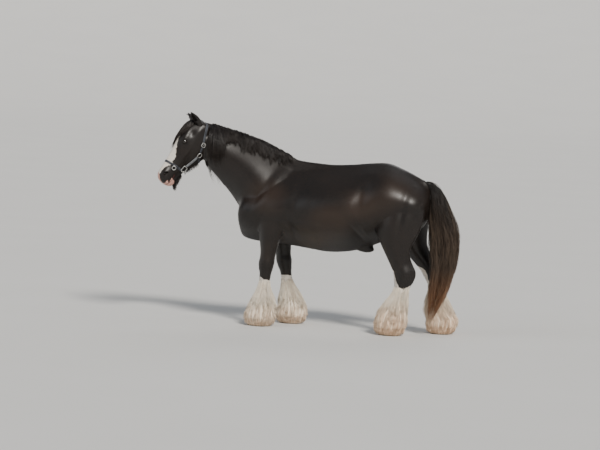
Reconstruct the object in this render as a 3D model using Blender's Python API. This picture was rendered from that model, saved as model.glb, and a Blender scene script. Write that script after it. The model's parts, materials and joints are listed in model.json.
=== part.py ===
"""A life-size standing cob horse: a heavy, feathered draught type in a headcollar.

The horse faces -X and stands on z = 0. Its near (left) side is at -Y. Metres throughout.
The body is one smooth skin, lofted from named stations and muscle masses, then parted into
torso, neck, head, upper legs and lower legs by cuts that leave a thin gap. Ears, eyes,
hooves, tail and the headcollar's straps and rings are made in place against those.
"""

import math
import random

import bmesh
import bpy
import numpy as np
from mathutils import Matrix, Vector
from mathutils.bvhtree import BVHTree

# Driving sizes
GAP = 0.0003
VOXEL = 0.007
SMOOTH_ALL = 6
SMOOTH_BODY = 26
HEAD_TRIANGLES = 1100
BODY_TRIANGLES = 2300
CORONET = 0.095
HAIR_FLOOR = 0.004
HAIR_CLEAR = 0.003
HAIR_SHARES = (0.62, 0.64, 0.66, 0.68, 0.71, 0.74, 0.78, 0.82, 0.86, 0.90)
EYE_RADIUS = 0.0215
EYE_STEPS = (16, 8)
LID = 0.0042
STRAP_LIFT = 0.0037
STRAP_DEPTH = 0.0030
RING_STEPS = 14
WIRE_SIDES = 4
SHEATH = ((0.545, 0, 0.740), (0.105, 0.046, 0.046), 10)
BODY_ENDS = (-0.80, 0.72)
HEAD_FROM = -0.88
HEAD_TO = -0.84

# Where the neck starts to turn towards the near side, and the turn in degrees along it
BEND_START = -0.30
TURNS = ((0.0, 0.0), (0.30, 6.0), (0.50, 14.0), (0.72, 35.0), (1.40, 35.0))

# The head's own frame: t runs from the poll to the lips, q runs forward off the face
POLL = (-1.010, 1.775)
HEAD_LINE = (-0.56, -0.829)

# Each foot's own place: the x its leg's rows are measured from, and how far to the side
FEET = {
    "near_fore": (-0.305, -0.185),
    "far_fore": (-0.100, 0.185),
    "near_hind": (0.850, -0.195),
    "far_hind": (1.240, 0.195),
}
ELBOW_X = -0.275
HIP_X = 0.860
PASTERN = 0.13
FORE_TOP = 1.12
HIND_TOP = 1.24
THIGH_LEAN = 0.055

# Station rows: front or top point (x, z), back or bottom point (x, z), half widths near the
# top, at the middle and near the bottom, and the power of the rounded section.
TRUNK = [
    ((-0.575, 1.120), (-0.570, 0.860), (0.080, 0.120, 0.100), 2.0),
    ((-0.530, 1.215), (-0.545, 0.770), (0.145, 0.205, 0.175), 2.1),
    ((-0.410, 1.330), (-0.440, 0.735), (0.150, 0.250, 0.215), 2.2),
    ((-0.270, 1.415), (-0.290, 0.725), (0.145, 0.272, 0.220), 2.2),
    ((-0.120, 1.470), (-0.130, 0.715), (0.135, 0.288, 0.228), 2.2),
    ((0.050, 1.462), (0.050, 0.695), (0.180, 0.316, 0.252), 2.25),
    ((0.240, 1.452), (0.240, 0.676), (0.228, 0.345, 0.272), 2.3),
    ((0.420, 1.464), (0.420, 0.692), (0.244, 0.347, 0.267), 2.3),
    ((0.580, 1.484), (0.580, 0.735), (0.244, 0.325, 0.235), 2.3),
    ((0.740, 1.492), (0.730, 0.800), (0.240, 0.312, 0.210), 2.3),
    ((0.870, 1.450), (0.860, 0.850), (0.220, 0.300, 0.200), 2.3),
    ((0.990, 1.398), (0.970, 0.880), (0.180, 0.272, 0.190), 2.2),
    ((1.078, 1.350), (1.066, 0.940), (0.110, 0.205, 0.150), 2.0),
    ((1.125, 1.290), (1.118, 1.020), (0.050, 0.084, 0.062), 2.0),
]
NECK = [
    ((0.020, 1.450), (-0.400, 0.900), (0.080, 0.190, 0.190), 2.2),
    ((-0.110, 1.490), (-0.520, 0.950), (0.085, 0.200, 0.195), 2.2),
    ((-0.230, 1.545), (-0.595, 1.035), (0.088, 0.190, 0.180), 2.2),
    ((-0.370, 1.608), (-0.665, 1.125), (0.085, 0.165, 0.150), 2.2),
    ((-0.520, 1.660), (-0.735, 1.205), (0.080, 0.140, 0.122), 2.2),
    ((-0.670, 1.703), (-0.800, 1.280), (0.074, 0.120, 0.104), 2.2),
    ((-0.820, 1.738), (-0.865, 1.350), (0.070, 0.106, 0.094), 2.2),
    ((-0.945, 1.762), (-0.920, 1.420), (0.068, 0.096, 0.086), 2.2),
    ((-1.015, 1.740), (-0.975, 1.480), (0.055, 0.078, 0.070), 2.0),
]
# The head's rows are (t, q) pairs in the head's own frame
HEAD = [
    ((-0.035, -0.040), (-0.010, -0.150), (0.045, 0.055, 0.050), 2.0),
    ((-0.005, 0.008), (0.020, -0.220), (0.070, 0.080, 0.065), 2.2),
    ((0.060, 0.040), (0.090, -0.262), (0.084, 0.088, 0.070), 2.4),
    ((0.130, 0.050), (0.165, -0.272), (0.092, 0.090, 0.070), 2.5),
    ((0.210, 0.048), (0.240, -0.262), (0.090, 0.086, 0.062), 2.5),
    ((0.290, 0.038), (0.310, -0.235), (0.072, 0.075, 0.052), 2.5),
    ((0.370, 0.029), (0.385, -0.203), (0.058, 0.064, 0.044), 2.4),
    ((0.450, 0.022), (0.455, -0.178), (0.050, 0.056, 0.040), 2.4),
    ((0.510, 0.020), (0.515, -0.168), (0.050, 0.056, 0.040), 2.4),
    ((0.560, 0.018), (0.568, -0.166), (0.053, 0.059, 0.041), 2.4),
    ((0.595, 0.006), (0.602, -0.156), (0.052, 0.056, 0.040), 2.3),
    ((0.620, -0.018), (0.624, -0.132), (0.038, 0.044, 0.034), 2.1),
    ((0.630, -0.044), (0.632, -0.100), (0.018, 0.022, 0.018), 2.0),
]
# Legs: front point (x, z), back point (x, z), half widths, power
FORE = [
    ((-0.160, 1.120), (0.190, 1.100), (0.070, 0.085, 0.075), 2.2),
    ((-0.140, 0.960), (0.170, 0.960), (0.072, 0.088, 0.074), 2.2),
    ((-0.095, 0.860), (0.140, 0.880), (0.070, 0.084, 0.068), 2.2),
    ((-0.076, 0.760), (0.112, 0.775), (0.064, 0.076, 0.062), 2.2),
    ((-0.060, 0.670), (0.092, 0.680), (0.056, 0.066, 0.054), 2.2),
    ((-0.058, 0.610), (0.080, 0.615), (0.054, 0.060, 0.050), 2.2),
    ((-0.064, 0.560), (0.078, 0.565), (0.060, 0.066, 0.056), 2.4),
    ((-0.058, 0.505), (0.068, 0.505), (0.054, 0.058, 0.050), 2.3),
    ((-0.046, 0.450), (0.056, 0.450), (0.044, 0.048, 0.044), 2.2),
    ((-0.048, 0.340), (0.048, 0.340), (0.038, 0.042, 0.038), 2.2),
    ((-0.056, 0.240), (0.044, 0.240), (0.039, 0.043, 0.040), 2.2),
    ((-0.068, 0.190), (0.050, 0.180), (0.046, 0.052, 0.048), 2.2),
    ((-0.078, 0.145), (0.040, 0.130), (0.048, 0.054, 0.048), 2.2),
    ((-0.096, 0.070), (0.056, 0.060), (0.058, 0.066, 0.056), 2.2),
]
HIND = [
    ((-0.050, 1.310), (0.150, 1.310), (0.040, 0.050, 0.040), 2.2),
    ((-0.100, 1.230), (0.205, 1.230), (0.085, 0.100, 0.080), 2.2),
    ((-0.150, 1.080), (0.245, 1.080), (0.112, 0.130, 0.100), 2.2),
    ((-0.168, 0.930), (0.215, 0.920), (0.108, 0.120, 0.090), 2.2),
    ((-0.128, 0.800), (0.160, 0.800), (0.090, 0.098, 0.072), 2.2),
    ((-0.070, 0.690), (0.140, 0.720), (0.068, 0.076, 0.056), 2.2),
    ((-0.022, 0.600), (0.165, 0.645), (0.052, 0.060, 0.040), 2.2),
    ((0.004, 0.545), (0.205, 0.560), (0.054, 0.062, 0.038), 2.2),
    ((0.012, 0.490), (0.192, 0.485), (0.054, 0.062, 0.042), 2.2),
    ((0.020, 0.430), (0.155, 0.420), (0.048, 0.054, 0.044), 2.2),
    ((0.018, 0.340), (0.130, 0.330), (0.040, 0.045, 0.040), 2.2),
    ((0.000, 0.240), (0.112, 0.230), (0.042, 0.046, 0.042), 2.2),
    ((-0.018, 0.195), (0.104, 0.180), (0.050, 0.055, 0.050), 2.2),
    ((-0.036, 0.145), (0.080, 0.125), (0.050, 0.056, 0.050), 2.2),
    ((-0.062, 0.070), (0.084, 0.060), (0.060, 0.066, 0.056), 2.2),
]
HOOF = [
    ((-0.092, CORONET), (0.050, CORONET), (0.056, 0.062, 0.054), 2.2),
    ((-0.104, 0.050), (0.052, 0.050), (0.062, 0.069, 0.058), 2.2),
    ((-0.117, 0.000), (0.054, 0.000), (0.068, 0.075, 0.060), 2.2),
]
HOOF_HIND_STEP = 0.026
HOOF_SIDES = 14

# Where the body is parted: three points of each plane, and boxes round the legs given as
# low x, high x, distance from the middle plane, low z and high z
HEAD_CUT = ((-0.895, 0, 1.80), (-0.838, 0, 1.34), (-0.866, 0.10, 1.57))
NECK_CUT = ((-0.10, 0, 1.50), (-0.57, 0, 1.00), (-0.10, 1, 1.50))
FORE_UPPER = (-0.480, -0.050, 0.115, 0.490, 0.850)
HIND_UPPER = (0.680, 1.500, 0.030, 0.420, 0.830)
FORE_LOWER = (-0.600, 0.300)
HIND_LOWER = (0.500, 1.600)
MIDDLE_CLEAR = 0.010


def clear_scene():
    for obj in list(bpy.data.objects):
        bpy.data.objects.remove(obj)


def material(name, colour, roughness, metallic=0.0):
    made = bpy.data.materials.new(name)
    made.use_nodes = True
    shader = made.node_tree.nodes["Principled BSDF"]
    shader.inputs["Base Color"].default_value = (*colour, 1.0)
    shader.inputs["Roughness"].default_value = roughness
    shader.inputs["Metallic"].default_value = metallic
    return made


def unit(vector):
    vector = np.asarray(vector, float)
    return vector / np.linalg.norm(vector)


def solid(name, shape, place=None):
    """A mesh object from points and faces, linked in the scene or in the given collection."""
    points, faces = shape
    mesh = bpy.data.meshes.new(name)
    mesh.from_pydata([tuple(p) for p in points], [], [tuple(f) for f in faces])
    mesh.update()
    obj = bpy.data.objects.new(name, mesh)
    (place or bpy.context.scene.collection).objects.link(obj)
    return obj


def through(rows, count):
    """Rows of numbers resampled by a smooth curve through them all."""
    rows = np.asarray(rows, float)
    padded = np.vstack([2 * rows[0] - rows[1], rows, 2 * rows[-1] - rows[-2]])
    steps = np.linspace(0, len(rows) - 1, count)
    at = np.minimum(steps.astype(int), len(rows) - 2)
    u = (steps - at)[:, None]
    a, b, c, d = (padded[at + k] for k in range(4))
    return 0.5 * (2 * b + (c - a) * u + (2 * a - 5 * b + 4 * c - d) * u**2 + (3 * b - a - 3 * c + d) * u**3)


def section(top, bottom, middle, widths, power, sides):
    """One closed ring round the line from top to bottom, widening sideways along Y."""
    ring = []
    high, mid, low = widths
    centre, half = (top + bottom) / 2, (top - bottom) / 2
    for k in range(sides):
        angle = 2 * math.pi * k / sides
        along = math.copysign(abs(math.cos(angle)) ** (2 / power), math.cos(angle))
        across = math.copysign(abs(math.sin(angle)) ** (2 / power), math.sin(angle))
        side = mid + (high - low) / 1.2 * along + (high + low - 2 * mid) / 0.72 * along**2
        x, z = centre + half * along
        ring.append((x, middle + across * max(side, 0.25 * mid), z))
    return ring


def loft(rings, closed=False):
    """Points and faces of a tube through rings: closed on itself, or with a fan over each end."""
    sides = len(rings[0])
    points = [p for ring in rings for p in ring]
    faces = []
    for r in range(len(rings) if closed else len(rings) - 1):
        for k in range(sides):
            a, b = r * sides + k, r * sides + (k + 1) % sides
            step = sides if r < len(rings) - 1 else -r * sides
            faces += [(a, b, b + step), (a, b + step, a + step)]
    if closed:
        return points, faces
    for ring, at, turned in ((rings[0], 0, True), (rings[-1], (len(rings) - 1) * sides, False)):
        points.append(np.mean(ring, axis=0))
        hub = len(points) - 1
        for k in range(sides):
            edge = (at + k, at + (k + 1) % sides)
            faces.append((edge[1], edge[0], hub) if turned else (*edge, hub))
    return points, faces


def facing_out(points, faces):
    """The same faces, turned round if the closed surface is inside out."""
    points = np.asarray(points, float)
    volume = 0.0
    for face in faces:
        for k in range(1, len(face) - 1):
            volume += np.linalg.det(points[[face[0], face[k], face[k + 1]]])
    return points, faces if volume > 0 else [tuple(reversed(f)) for f in faces]


def station_loft(rows, count, sides, middles=None, place=lambda p: p):
    """A loft through station rows, whose side positions may vary row by row."""
    middles = middles or [0.0] * len(rows)
    flat = [(*place(t), *place(b), *w, n, m) for (t, b, w, n), m in zip(rows, middles)]
    rings = []
    for row in through(flat, count):
        top, bottom = row[0:2], row[2:4]
        rings.append(section(top, bottom, row[8], row[4:7], row[7], sides))
    return facing_out(*loft(rings))


def ball(centre, axes, steps=(24, 14)):
    """A ball stretched along three given axes, whose lengths are its radii."""
    centre = np.asarray(centre, float)
    axes = np.asarray(axes, float)
    rings = []
    for j in range(1, steps[1]):
        polar = math.pi * j / steps[1]
        ring = []
        for k in range(steps[0]):
            angle = 2 * math.pi * k / steps[0]
            local = (math.sin(polar) * math.cos(angle), math.sin(polar) * math.sin(angle), math.cos(polar))
            ring.append(centre + np.dot(local, axes))
        rings.append(ring)
    return facing_out(*loft(rings))


def ellipsoid(centre, radii, lean=0.0):
    """A ball stretched along x, y and z, and leaned in the side plane by degrees."""
    turn = math.radians(lean)
    axes = (
        (radii[0] * math.cos(turn), 0, -radii[0] * math.sin(turn)),
        (0, radii[1], 0),
        (radii[2] * math.sin(turn), 0, radii[2] * math.cos(turn)),
    )
    return ball(centre, axes)


def box(low, high):
    points = [(x, y, z) for x in (low[0], high[0]) for y in (low[1], high[1]) for z in (low[2], high[2])]
    faces = [(0, 1, 3, 2), (4, 6, 7, 5), (0, 4, 5, 1), (2, 3, 7, 6), (0, 2, 6, 4), (1, 5, 7, 3)]
    return facing_out(points, faces)


def half_space(point, normal, reach=3.0):
    """A large box whose one face lies at the point, and which fills the side the normal shows."""
    normal = unit(normal)
    across = unit(np.cross(normal, (0.31, 0.17, 0.93)))
    up = np.cross(normal, across)
    points = []
    for depth in (0, reach):
        for a in (-reach, reach):
            for b in (-reach, reach):
                points.append(np.asarray(point) + normal * depth + across * a + up * b)
    faces = [(0, 1, 3, 2), (4, 6, 7, 5), (0, 4, 5, 1), (2, 3, 7, 6), (0, 2, 6, 4), (1, 5, 7, 3)]
    return facing_out(points, faces)


def head_point(t, q):
    """Side-plane point of the head's own (t, q)."""
    return (
        POLL[0] + t * HEAD_LINE[0] + q * HEAD_LINE[1],
        POLL[1] + t * HEAD_LINE[1] - q * HEAD_LINE[0],
    )


def head_spot(t, q, y):
    x, z = head_point(t, q)
    return (x, y, z)


def bent(points):
    """Points of the neck and head, turned towards the near side along the neck."""
    points = np.array(points, float)
    reach = np.linspace(0, TURNS[-1][0], 281)
    angle = np.radians(np.interp(reach, [r[0] for r in TURNS], [r[1] for r in TURNS]))
    middle = (angle[1:] + angle[:-1]) / 2
    ahead = np.concatenate([[0], np.cumsum(np.cos(middle))]) * reach[1]
    aside = np.concatenate([[0], np.cumsum(np.sin(middle))]) * reach[1]
    along = BEND_START - points[:, 0]
    turn = np.interp(along, reach, angle)
    side = points[:, 1].copy()
    x = BEND_START - np.interp(along, reach, ahead) - side * np.sin(turn)
    y = -np.interp(along, reach, aside) + side * np.cos(turn)
    turned = along > 0
    points[turned, 0] = x[turned]
    points[turned, 1] = y[turned]
    return points


def head_at(t, q, y):
    """A spot of the head's own frame, where the neck's turn carries it."""
    return bent([head_spot(t, q, y)])[0]


def tree_of(points, faces):
    return BVHTree.FromPolygons([tuple(p) for p in points], faces)


def tree_from(obj):
    mesh = obj.data
    return tree_of([v.co for v in mesh.vertices], [tuple(f.vertices) for f in mesh.polygons])


# Swellings and hollows of the skin: middle (u, v), reach along and across, lean in degrees and
# height. On the body u, v are x and z; on the head they are its own t and q.
BODY_SWELLS = [
    ((-0.250, 1.230), (0.075, 0.260), 32, 0.016),  # shoulder blade
    ((-0.160, 1.020), (0.150, 0.110), 20, 0.022),  # triceps
    ((-0.490, 1.020), (0.090, 0.110), 10, 0.020),  # point of the shoulder
    ((-0.260, 0.880), (0.110, 0.120), 0, 0.016),  # upper arm
    ((-0.370, 1.150), (0.035, 0.170), 28, -0.010),  # groove ahead of the shoulder
    ((0.000, 1.180), (0.050, 0.180), 15, -0.010),  # hollow behind the shoulder
    ((0.280, 0.960), (0.300, 0.220), 0, 0.014),  # barrel
    ((0.565, 1.180), (0.060, 0.160), 10, -0.014),  # flank
    ((0.600, 1.375), (0.065, 0.060), 0, 0.012),  # point of the hip
    ((0.820, 1.330), (0.200, 0.110), 16, 0.012),  # croup
    ((0.770, 1.060), (0.140, 0.230), -12, 0.018),  # thigh
    ((0.925, 1.060), (0.030, 0.230), 8, -0.010),  # groove behind the thigh
    ((1.020, 1.080), (0.080, 0.220), 10, 0.014),  # buttock
    ((0.640, 0.900), (0.070, 0.110), -30, 0.012),  # fold of the stifle
]
HEAD_SWELLS = [
    ((0.200, 0.018), (0.050, 0.026), 0, 0.012),  # brow over the eye
    ((0.128, -0.010), (0.034, 0.022), 0, -0.009),  # hollow above the eye
    ((0.075, -0.060), (0.050, 0.030), 0, 0.008),  # temple
    ((0.180, -0.170), (0.095, 0.075), 0, 0.012),  # cheek
    ((0.325, -0.075), (0.120, 0.013), 0, 0.009),  # cheek bone
    ((0.370, -0.020), (0.090, 0.026), 0, -0.005),  # side of the nose
    ((0.340, -0.135), (0.070, 0.030), 0, -0.006),  # ahead of the cheek
    ((0.545, -0.020), (0.040, 0.030), 0, 0.009),  # nostril
    ((0.585, -0.060), (0.034, 0.030), 0, 0.005),  # upper lip
    ((0.480, -0.085), (0.030, 0.050), 0, -0.004),  # behind the muzzle
    ((0.590, -0.135), (0.038, 0.030), 0, 0.005),  # chin
]


def normals_of(points, faces):
    mesh = bpy.data.meshes.new("normals")
    mesh.from_pydata([tuple(p) for p in points], [], [tuple(f) for f in faces])
    found = np.empty(len(mesh.vertices) * 3)
    mesh.vertices.foreach_get("normal", found)
    bpy.data.meshes.remove(mesh)
    return found.reshape(-1, 3)


def swollen(points, normals, flat, swells):
    """Points moved along their normals by swells laid out on flat (u, v), on the two sides only."""
    points = np.array(points, float)
    lift = np.zeros(len(points))
    for (u, v), (along, across), lean, height in swells:
        turn = math.radians(lean)
        du, dv = flat[:, 0] - u, flat[:, 1] - v
        a = du * math.cos(turn) - dv * math.sin(turn)
        b = du * math.sin(turn) + dv * math.cos(turn)
        lift += height * np.exp(-((a / along) ** 2) - (b / across) ** 2)
    sides = np.clip(np.abs(normals[:, 1]) * 1.6, 0, 1) ** 1.5
    return points + normals * (lift * sides)[:, None]


def head_shape():
    """The head's loft with its swells, in the head's own frame before the neck's turn."""
    points, faces = station_loft(HEAD, 110, 64, place=lambda p: head_point(*p))
    rel = points[:, [0, 2]] - np.array(POLL)
    flat = np.stack([rel @ np.array(HEAD_LINE), rel @ np.array((HEAD_LINE[1], -HEAD_LINE[0]))], axis=1)
    return swollen(points, normals_of(points, faces), flat, HEAD_SWELLS), faces


def leg_rows(rows, place, shifts):
    """A leg's station rows at its foot's place, with each row moved along by its own shift."""
    moved = []
    for k, ((tx, tz), (bx, bz), widths, power) in enumerate(rows):
        step = place + shifts[k]
        moved.append(((tx + step, tz), (bx + step, bz), widths, power))
    return moved


def leg_sway(name, z):
    """How far a leg's section at a height is carried along X and where its middle is in Y."""
    x, y = FEET[name]
    fore = name.endswith("fore")
    up = max(0.0, (z - PASTERN) / ((FORE_TOP if fore else HIND_TOP) - PASTERN))
    hang = min(1.0, up / 0.75) ** 0.9
    lean = 0.0 if fore else THIGH_LEAN * np.clip((up - 0.72) / 0.28, 0, 1.3)
    return ((ELBOW_X if fore else HIP_X) - x) * hang, y * (1 - 0.10 * hang) - math.copysign(lean, y)


def leg_shape(name, rows, count=40, sides=20):
    """A leg's loft, from where it hangs in the body to its foot's place."""
    sways = [leg_sway(name, top[1]) for top, *_ in rows]
    moved = leg_rows(rows, FEET[name][0], [s[0] for s in sways])
    return station_loft(moved, count, sides, [s[1] for s in sways])


def joined(name, pieces):
    """One mesh object holding several closed shapes."""
    points, faces = [], []
    for some, theirs in pieces:
        base = len(points)
        points.extend(some)
        faces.extend([tuple(i + base for i in f) for f in theirs])
    return solid(name, (points, faces))


def applied(obj):
    """Makes the object's mesh what its modifiers give, and removes them."""
    graph = bpy.context.evaluated_depsgraph_get()
    mesh = bpy.data.meshes.new_from_object(obj.evaluated_get(graph))
    obj.modifiers.clear()
    obj.data = mesh
    return obj


def weighed(obj, name, inside):
    """A vertex group of the points that lie inside a test of x, y and z."""
    if name in obj.vertex_groups:
        obj.vertex_groups.remove(obj.vertex_groups[name])
    group = obj.vertex_groups.new(name=name)
    chosen = [v.index for v in obj.data.vertices if inside(*v.co)]
    group.add(chosen, 1.0, "REPLACE")
    return set(chosen)


def body_skin():
    """The whole body as one smooth closed surface."""
    front = []
    for shape in (station_loft(NECK, 40, 32), head_shape()):
        front.append((bent(shape[0]), shape[1]))
    rest = [station_loft(TRUNK, 56, 40), ellipsoid(*SHEATH)]
    for name in FEET:
        rest.append(leg_shape(name, FORE if name.endswith("fore") else HIND))
    skin = joined("torso", front + rest)
    remesh = skin.modifiers.new("Remesh", "REMESH")
    remesh.mode = "VOXEL"
    remesh.voxel_size = VOXEL
    applied(skin)
    weighed(skin, "body", lambda x, y, z: x > BODY_ENDS[0] and z > BODY_ENDS[1])
    for group, rounds in (("", SMOOTH_ALL), ("body", SMOOTH_BODY)):
        smooth = skin.modifiers.new("Smooth", "SMOOTH")
        smooth.factor = 0.5
        smooth.iterations = rounds
        smooth.vertex_group = group
    applied(skin)
    points = np.array([v.co for v in skin.data.vertices])
    normals = np.array([v.normal for v in skin.data.vertices])
    moved = swollen(points, normals, points[:, [0, 2]], BODY_SWELLS)
    skin.data.vertices.foreach_set("co", moved.ravel())
    return skin


def thinned(skin, inside, triangles):
    """Fewer triangles where the test of x, y and z holds, the rest left as it is."""
    chosen = weighed(skin, "thin", inside)
    total = sum(len(f.vertices) - 2 for f in skin.data.polygons)
    there = sum(len(f.vertices) - 2 for f in skin.data.polygons if f.vertices[0] in chosen)
    decimate = skin.modifiers.new("Decimate", "DECIMATE")
    decimate.ratio = (total - there + triangles) / total
    decimate.vertex_group = "thin"
    decimate.vertex_group_factor = 100.0
    return applied(skin)


def off_skin(tree, point):
    """How far outside the surface a point lies."""
    foot, out = tree.find_nearest(Vector(point))[:2]
    return (Vector(point) - foot).dot(out)


def closed(obj):
    """Whether every edge of the mesh joins exactly two faces."""
    shell = bmesh.new()
    shell.from_mesh(obj.data)
    whole = all(len(edge.link_faces) == 2 for edge in shell.edges)
    shell.free()
    return whole


def hair_thinned(obj, tree):
    """Fewer triangles in the hair that stands off the surface, where locks cross each other.

    The strongest thinning that leaves the mesh closed is taken.
    """
    loose = [off_skin(tree, v.co) > HAIR_CLEAR for v in obj.data.vertices]
    count = sum(len(f.vertices) - 2 for f in obj.data.polygons if loose[f.vertices[0]])
    for share in HAIR_SHARES:
        trial = duplicate(obj, "trial")
        thinned(trial, lambda x, y, z: off_skin(tree, (x, y, z)) > HAIR_CLEAR, share * count)
        fine, mesh = closed(trial), trial.data
        bpy.data.objects.remove(trial)
        if fine:
            obj.data = mesh
            return obj
    return obj


def largest(obj):
    """Keeps only the object's largest closed surface."""
    mesh = obj.data
    parent = list(range(len(mesh.vertices)))

    def root(i):
        while parent[i] != i:
            parent[i] = parent[parent[i]]
            i = parent[i]
        return i

    for edge in mesh.edges:
        a, b = root(edge.vertices[0]), root(edge.vertices[1])
        if a != b:
            parent[a] = b
    area = {}
    for face in mesh.polygons:
        key = root(face.vertices[0])
        area[key] = area.get(key, 0.0) + face.area
    keep = max(area, key=area.get)
    if len(area) > 1:
        shell = bmesh.new()
        shell.from_mesh(mesh)
        shell.verts.ensure_lookup_table()
        lost = [v for v in shell.verts if root(v.index) != keep]
        bmesh.ops.delete(shell, geom=lost, context="VERTS")
        shell.to_mesh(mesh)
        shell.free()
    return obj


def combined(obj, other, operation, solver="EXACT"):
    """The object after a Boolean with another object or a collection, which is then removed."""
    change = obj.modifiers.new("Boolean", "BOOLEAN")
    change.operation = operation
    change.solver = solver
    if isinstance(other, bpy.types.Collection):
        change.operand_type = "COLLECTION"
        change.collection = other
    else:
        change.object = other
    applied(obj)
    if isinstance(other, bpy.types.Collection):
        for piece in list(other.objects):
            bpy.data.objects.remove(piece)
        bpy.data.collections.remove(other)
    else:
        bpy.data.objects.remove(other)
    return largest(obj)


def cut(obj, shape, solver="EXACT"):
    return combined(obj, solid("cutter", shape), "DIFFERENCE", solver)


def kept(obj, shape, solver="EXACT"):
    return combined(obj, solid("cutter", shape), "INTERSECT", solver)


def fused(obj, shapes, solver="EXACT"):
    """The object with closed shapes grown onto it by one union."""
    group = bpy.data.collections.new("pieces")
    bpy.context.scene.collection.children.link(group)
    for shape in shapes:
        solid("piece", shape, group)
    return combined(obj, group, "UNION", solver)


def duplicate(obj, name):
    other = bpy.data.objects.new(name, obj.data.copy())
    bpy.context.scene.collection.objects.link(other)
    return other


def parted(rest, name, region):
    """What lies in a region as a piece of its own; the rest ends a gap away from it."""
    piece = duplicate(rest, name)
    kept(piece, region(0.0))
    cut(rest, region(GAP))
    return piece


def plane_region(points):
    """A region ahead of the plane through three points, growing backwards."""
    a, b, c = (np.asarray(p, float) for p in points)
    normal = unit(np.cross(b - a, c - a))
    if normal[0] > 0:
        normal = -normal
    return lambda grow: half_space(a - normal * grow, normal)


def box_region(low, high):
    return lambda grow: box([v - grow for v in low], [v + grow for v in high])


def side_box(name, low_x, high_x, low_y, low_z, high_z):
    """A box region on the named leg's own side of the middle plane."""
    near = name.startswith("near")
    span = (-0.60, -low_y) if near else (low_y, 0.60)
    return box_region((low_x, span[0], low_z), (high_x, span[1], high_z))


def body_nodes():
    """The smooth skin, thinned and parted into the body's nodes, by name."""
    skin = body_skin()
    thinned(skin, lambda x, y, z: x > HEAD_FROM, BODY_TRIANGLES)
    thinned(skin, lambda x, y, z: x <= HEAD_TO, HEAD_TRIANGLES)
    whole = tree_from(skin)
    nodes = {}
    nodes["head"] = parted(skin, "head", plane_region(bent(HEAD_CUT)))
    nodes["neck"] = parted(skin, "neck", plane_region(NECK_CUT))
    for name in FEET:
        fore = name.endswith("fore")
        upper = FORE_UPPER if fore else HIND_UPPER
        span = FORE_LOWER if fore else HIND_LOWER
        lower = (*span, MIDDLE_CLEAR, CORONET + GAP, upper[3] - GAP)
        nodes[name + "_lower_leg"] = parted(skin, name + "_lower_leg", side_box(name, *lower))
        nodes[name + "_upper_leg"] = parted(skin, name + "_upper_leg", side_box(name, *upper))
        cut(skin, side_box(name, upper[0], upper[1], MIDDLE_CLEAR, -0.1, upper[3])(0))
    nodes["torso"] = skin
    return nodes, whole


def hooves():
    made = {}
    for name, (x, y) in FEET.items():
        step = x if name.endswith("fore") else x + HOOF_HIND_STEP
        rows = leg_rows(HOOF, step, [0] * len(HOOF))
        rings = [section(np.array(t), np.array(b), y, w, n, HOOF_SIDES) for t, b, w, n in rows]
        made[name + "_hoof"] = solid(name + "_hoof", facing_out(*loft(rings)))
    return made


# Outline of the feather: rows as for legs, from the foot's own place
FORE_BELL = [
    ((-0.052, 0.440), (0.062, 0.440), (0.046, 0.050, 0.046), 2.1),
    ((-0.085, 0.300), (0.110, 0.300), (0.064, 0.072, 0.066), 2.1),
    ((-0.130, 0.180), (0.140, 0.180), (0.100, 0.112, 0.105), 2.1),
    ((-0.162, 0.100), (0.145, 0.100), (0.118, 0.132, 0.125), 2.1),
    ((-0.158, 0.040), (0.130, 0.040), (0.112, 0.126, 0.118), 2.1),
    ((-0.140, 0.006), (0.112, 0.006), (0.098, 0.112, 0.102), 2.1),
]
HIND_BELL = [
    ((-0.015, 0.415), (0.162, 0.415), (0.048, 0.054, 0.046), 2.1),
    ((-0.080, 0.300), (0.160, 0.300), (0.064, 0.072, 0.066), 2.1),
    ((-0.135, 0.180), (0.162, 0.180), (0.100, 0.112, 0.105), 2.1),
    ((-0.148, 0.100), (0.165, 0.100), (0.118, 0.132, 0.125), 2.1),
    ((-0.142, 0.040), (0.145, 0.040), (0.112, 0.126, 0.118), 2.1),
    ((-0.120, 0.006), (0.124, 0.006), (0.098, 0.112, 0.102), 2.1),
]
# Tail: front and back points in the side view, half widths, and how far each row is aside
TAIL = [
    ((1.070, 1.315), (1.085, 1.365), (0.026, 0.030, 0.026), 2.0),
    ((1.095, 1.285), (1.150, 1.345), (0.030, 0.034, 0.030), 2.0),
    ((1.125, 1.215), (1.235, 1.262), (0.034, 0.042, 0.034), 2.0),
    ((1.108, 1.090), (1.308, 1.115), (0.046, 0.058, 0.048), 2.0),
    ((1.110, 0.930), (1.390, 0.950), (0.052, 0.066, 0.054), 2.0),
    ((1.124, 0.760), (1.420, 0.780), (0.050, 0.064, 0.052), 2.0),
    ((1.150, 0.580), (1.390, 0.590), (0.044, 0.056, 0.046), 2.0),
    ((1.150, 0.400), (1.325, 0.390), (0.036, 0.046, 0.038), 2.0),
    ((1.150, 0.240), (1.250, 0.220), (0.026, 0.032, 0.028), 2.0),
    ((1.155, 0.090), (1.180, 0.090), (0.010, 0.012, 0.010), 2.0),
]
TAIL_ASIDE = [0.0, 0.0, 0.0, -0.005, -0.015, -0.028, -0.038, -0.045, -0.050, -0.050]


def grown_hoof(name):
    """The hoof's shape, grown by a gap all round, to cut hair clear of it."""
    x, y = FEET[name]
    step = x if name.endswith("fore") else x + HOOF_HIND_STEP
    rings = []
    for (tx, tz), (bx, bz), widths, power in HOOF:
        wide = [w + 2 * GAP for w in widths]
        top, bottom = np.array((tx + step - 2 * GAP, tz)), np.array((bx + step + 2 * GAP, bz))
        rings.append(section(top, bottom, y, wide, power, HOOF_SIDES))
    rings = [[(px, py, pz + GAP) for px, py, pz in rings[0]]] + rings[1:]
    rings.append([(px, py, -0.05) for px, py, pz in rings[-1]])
    return facing_out(*loft(rings))


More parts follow.
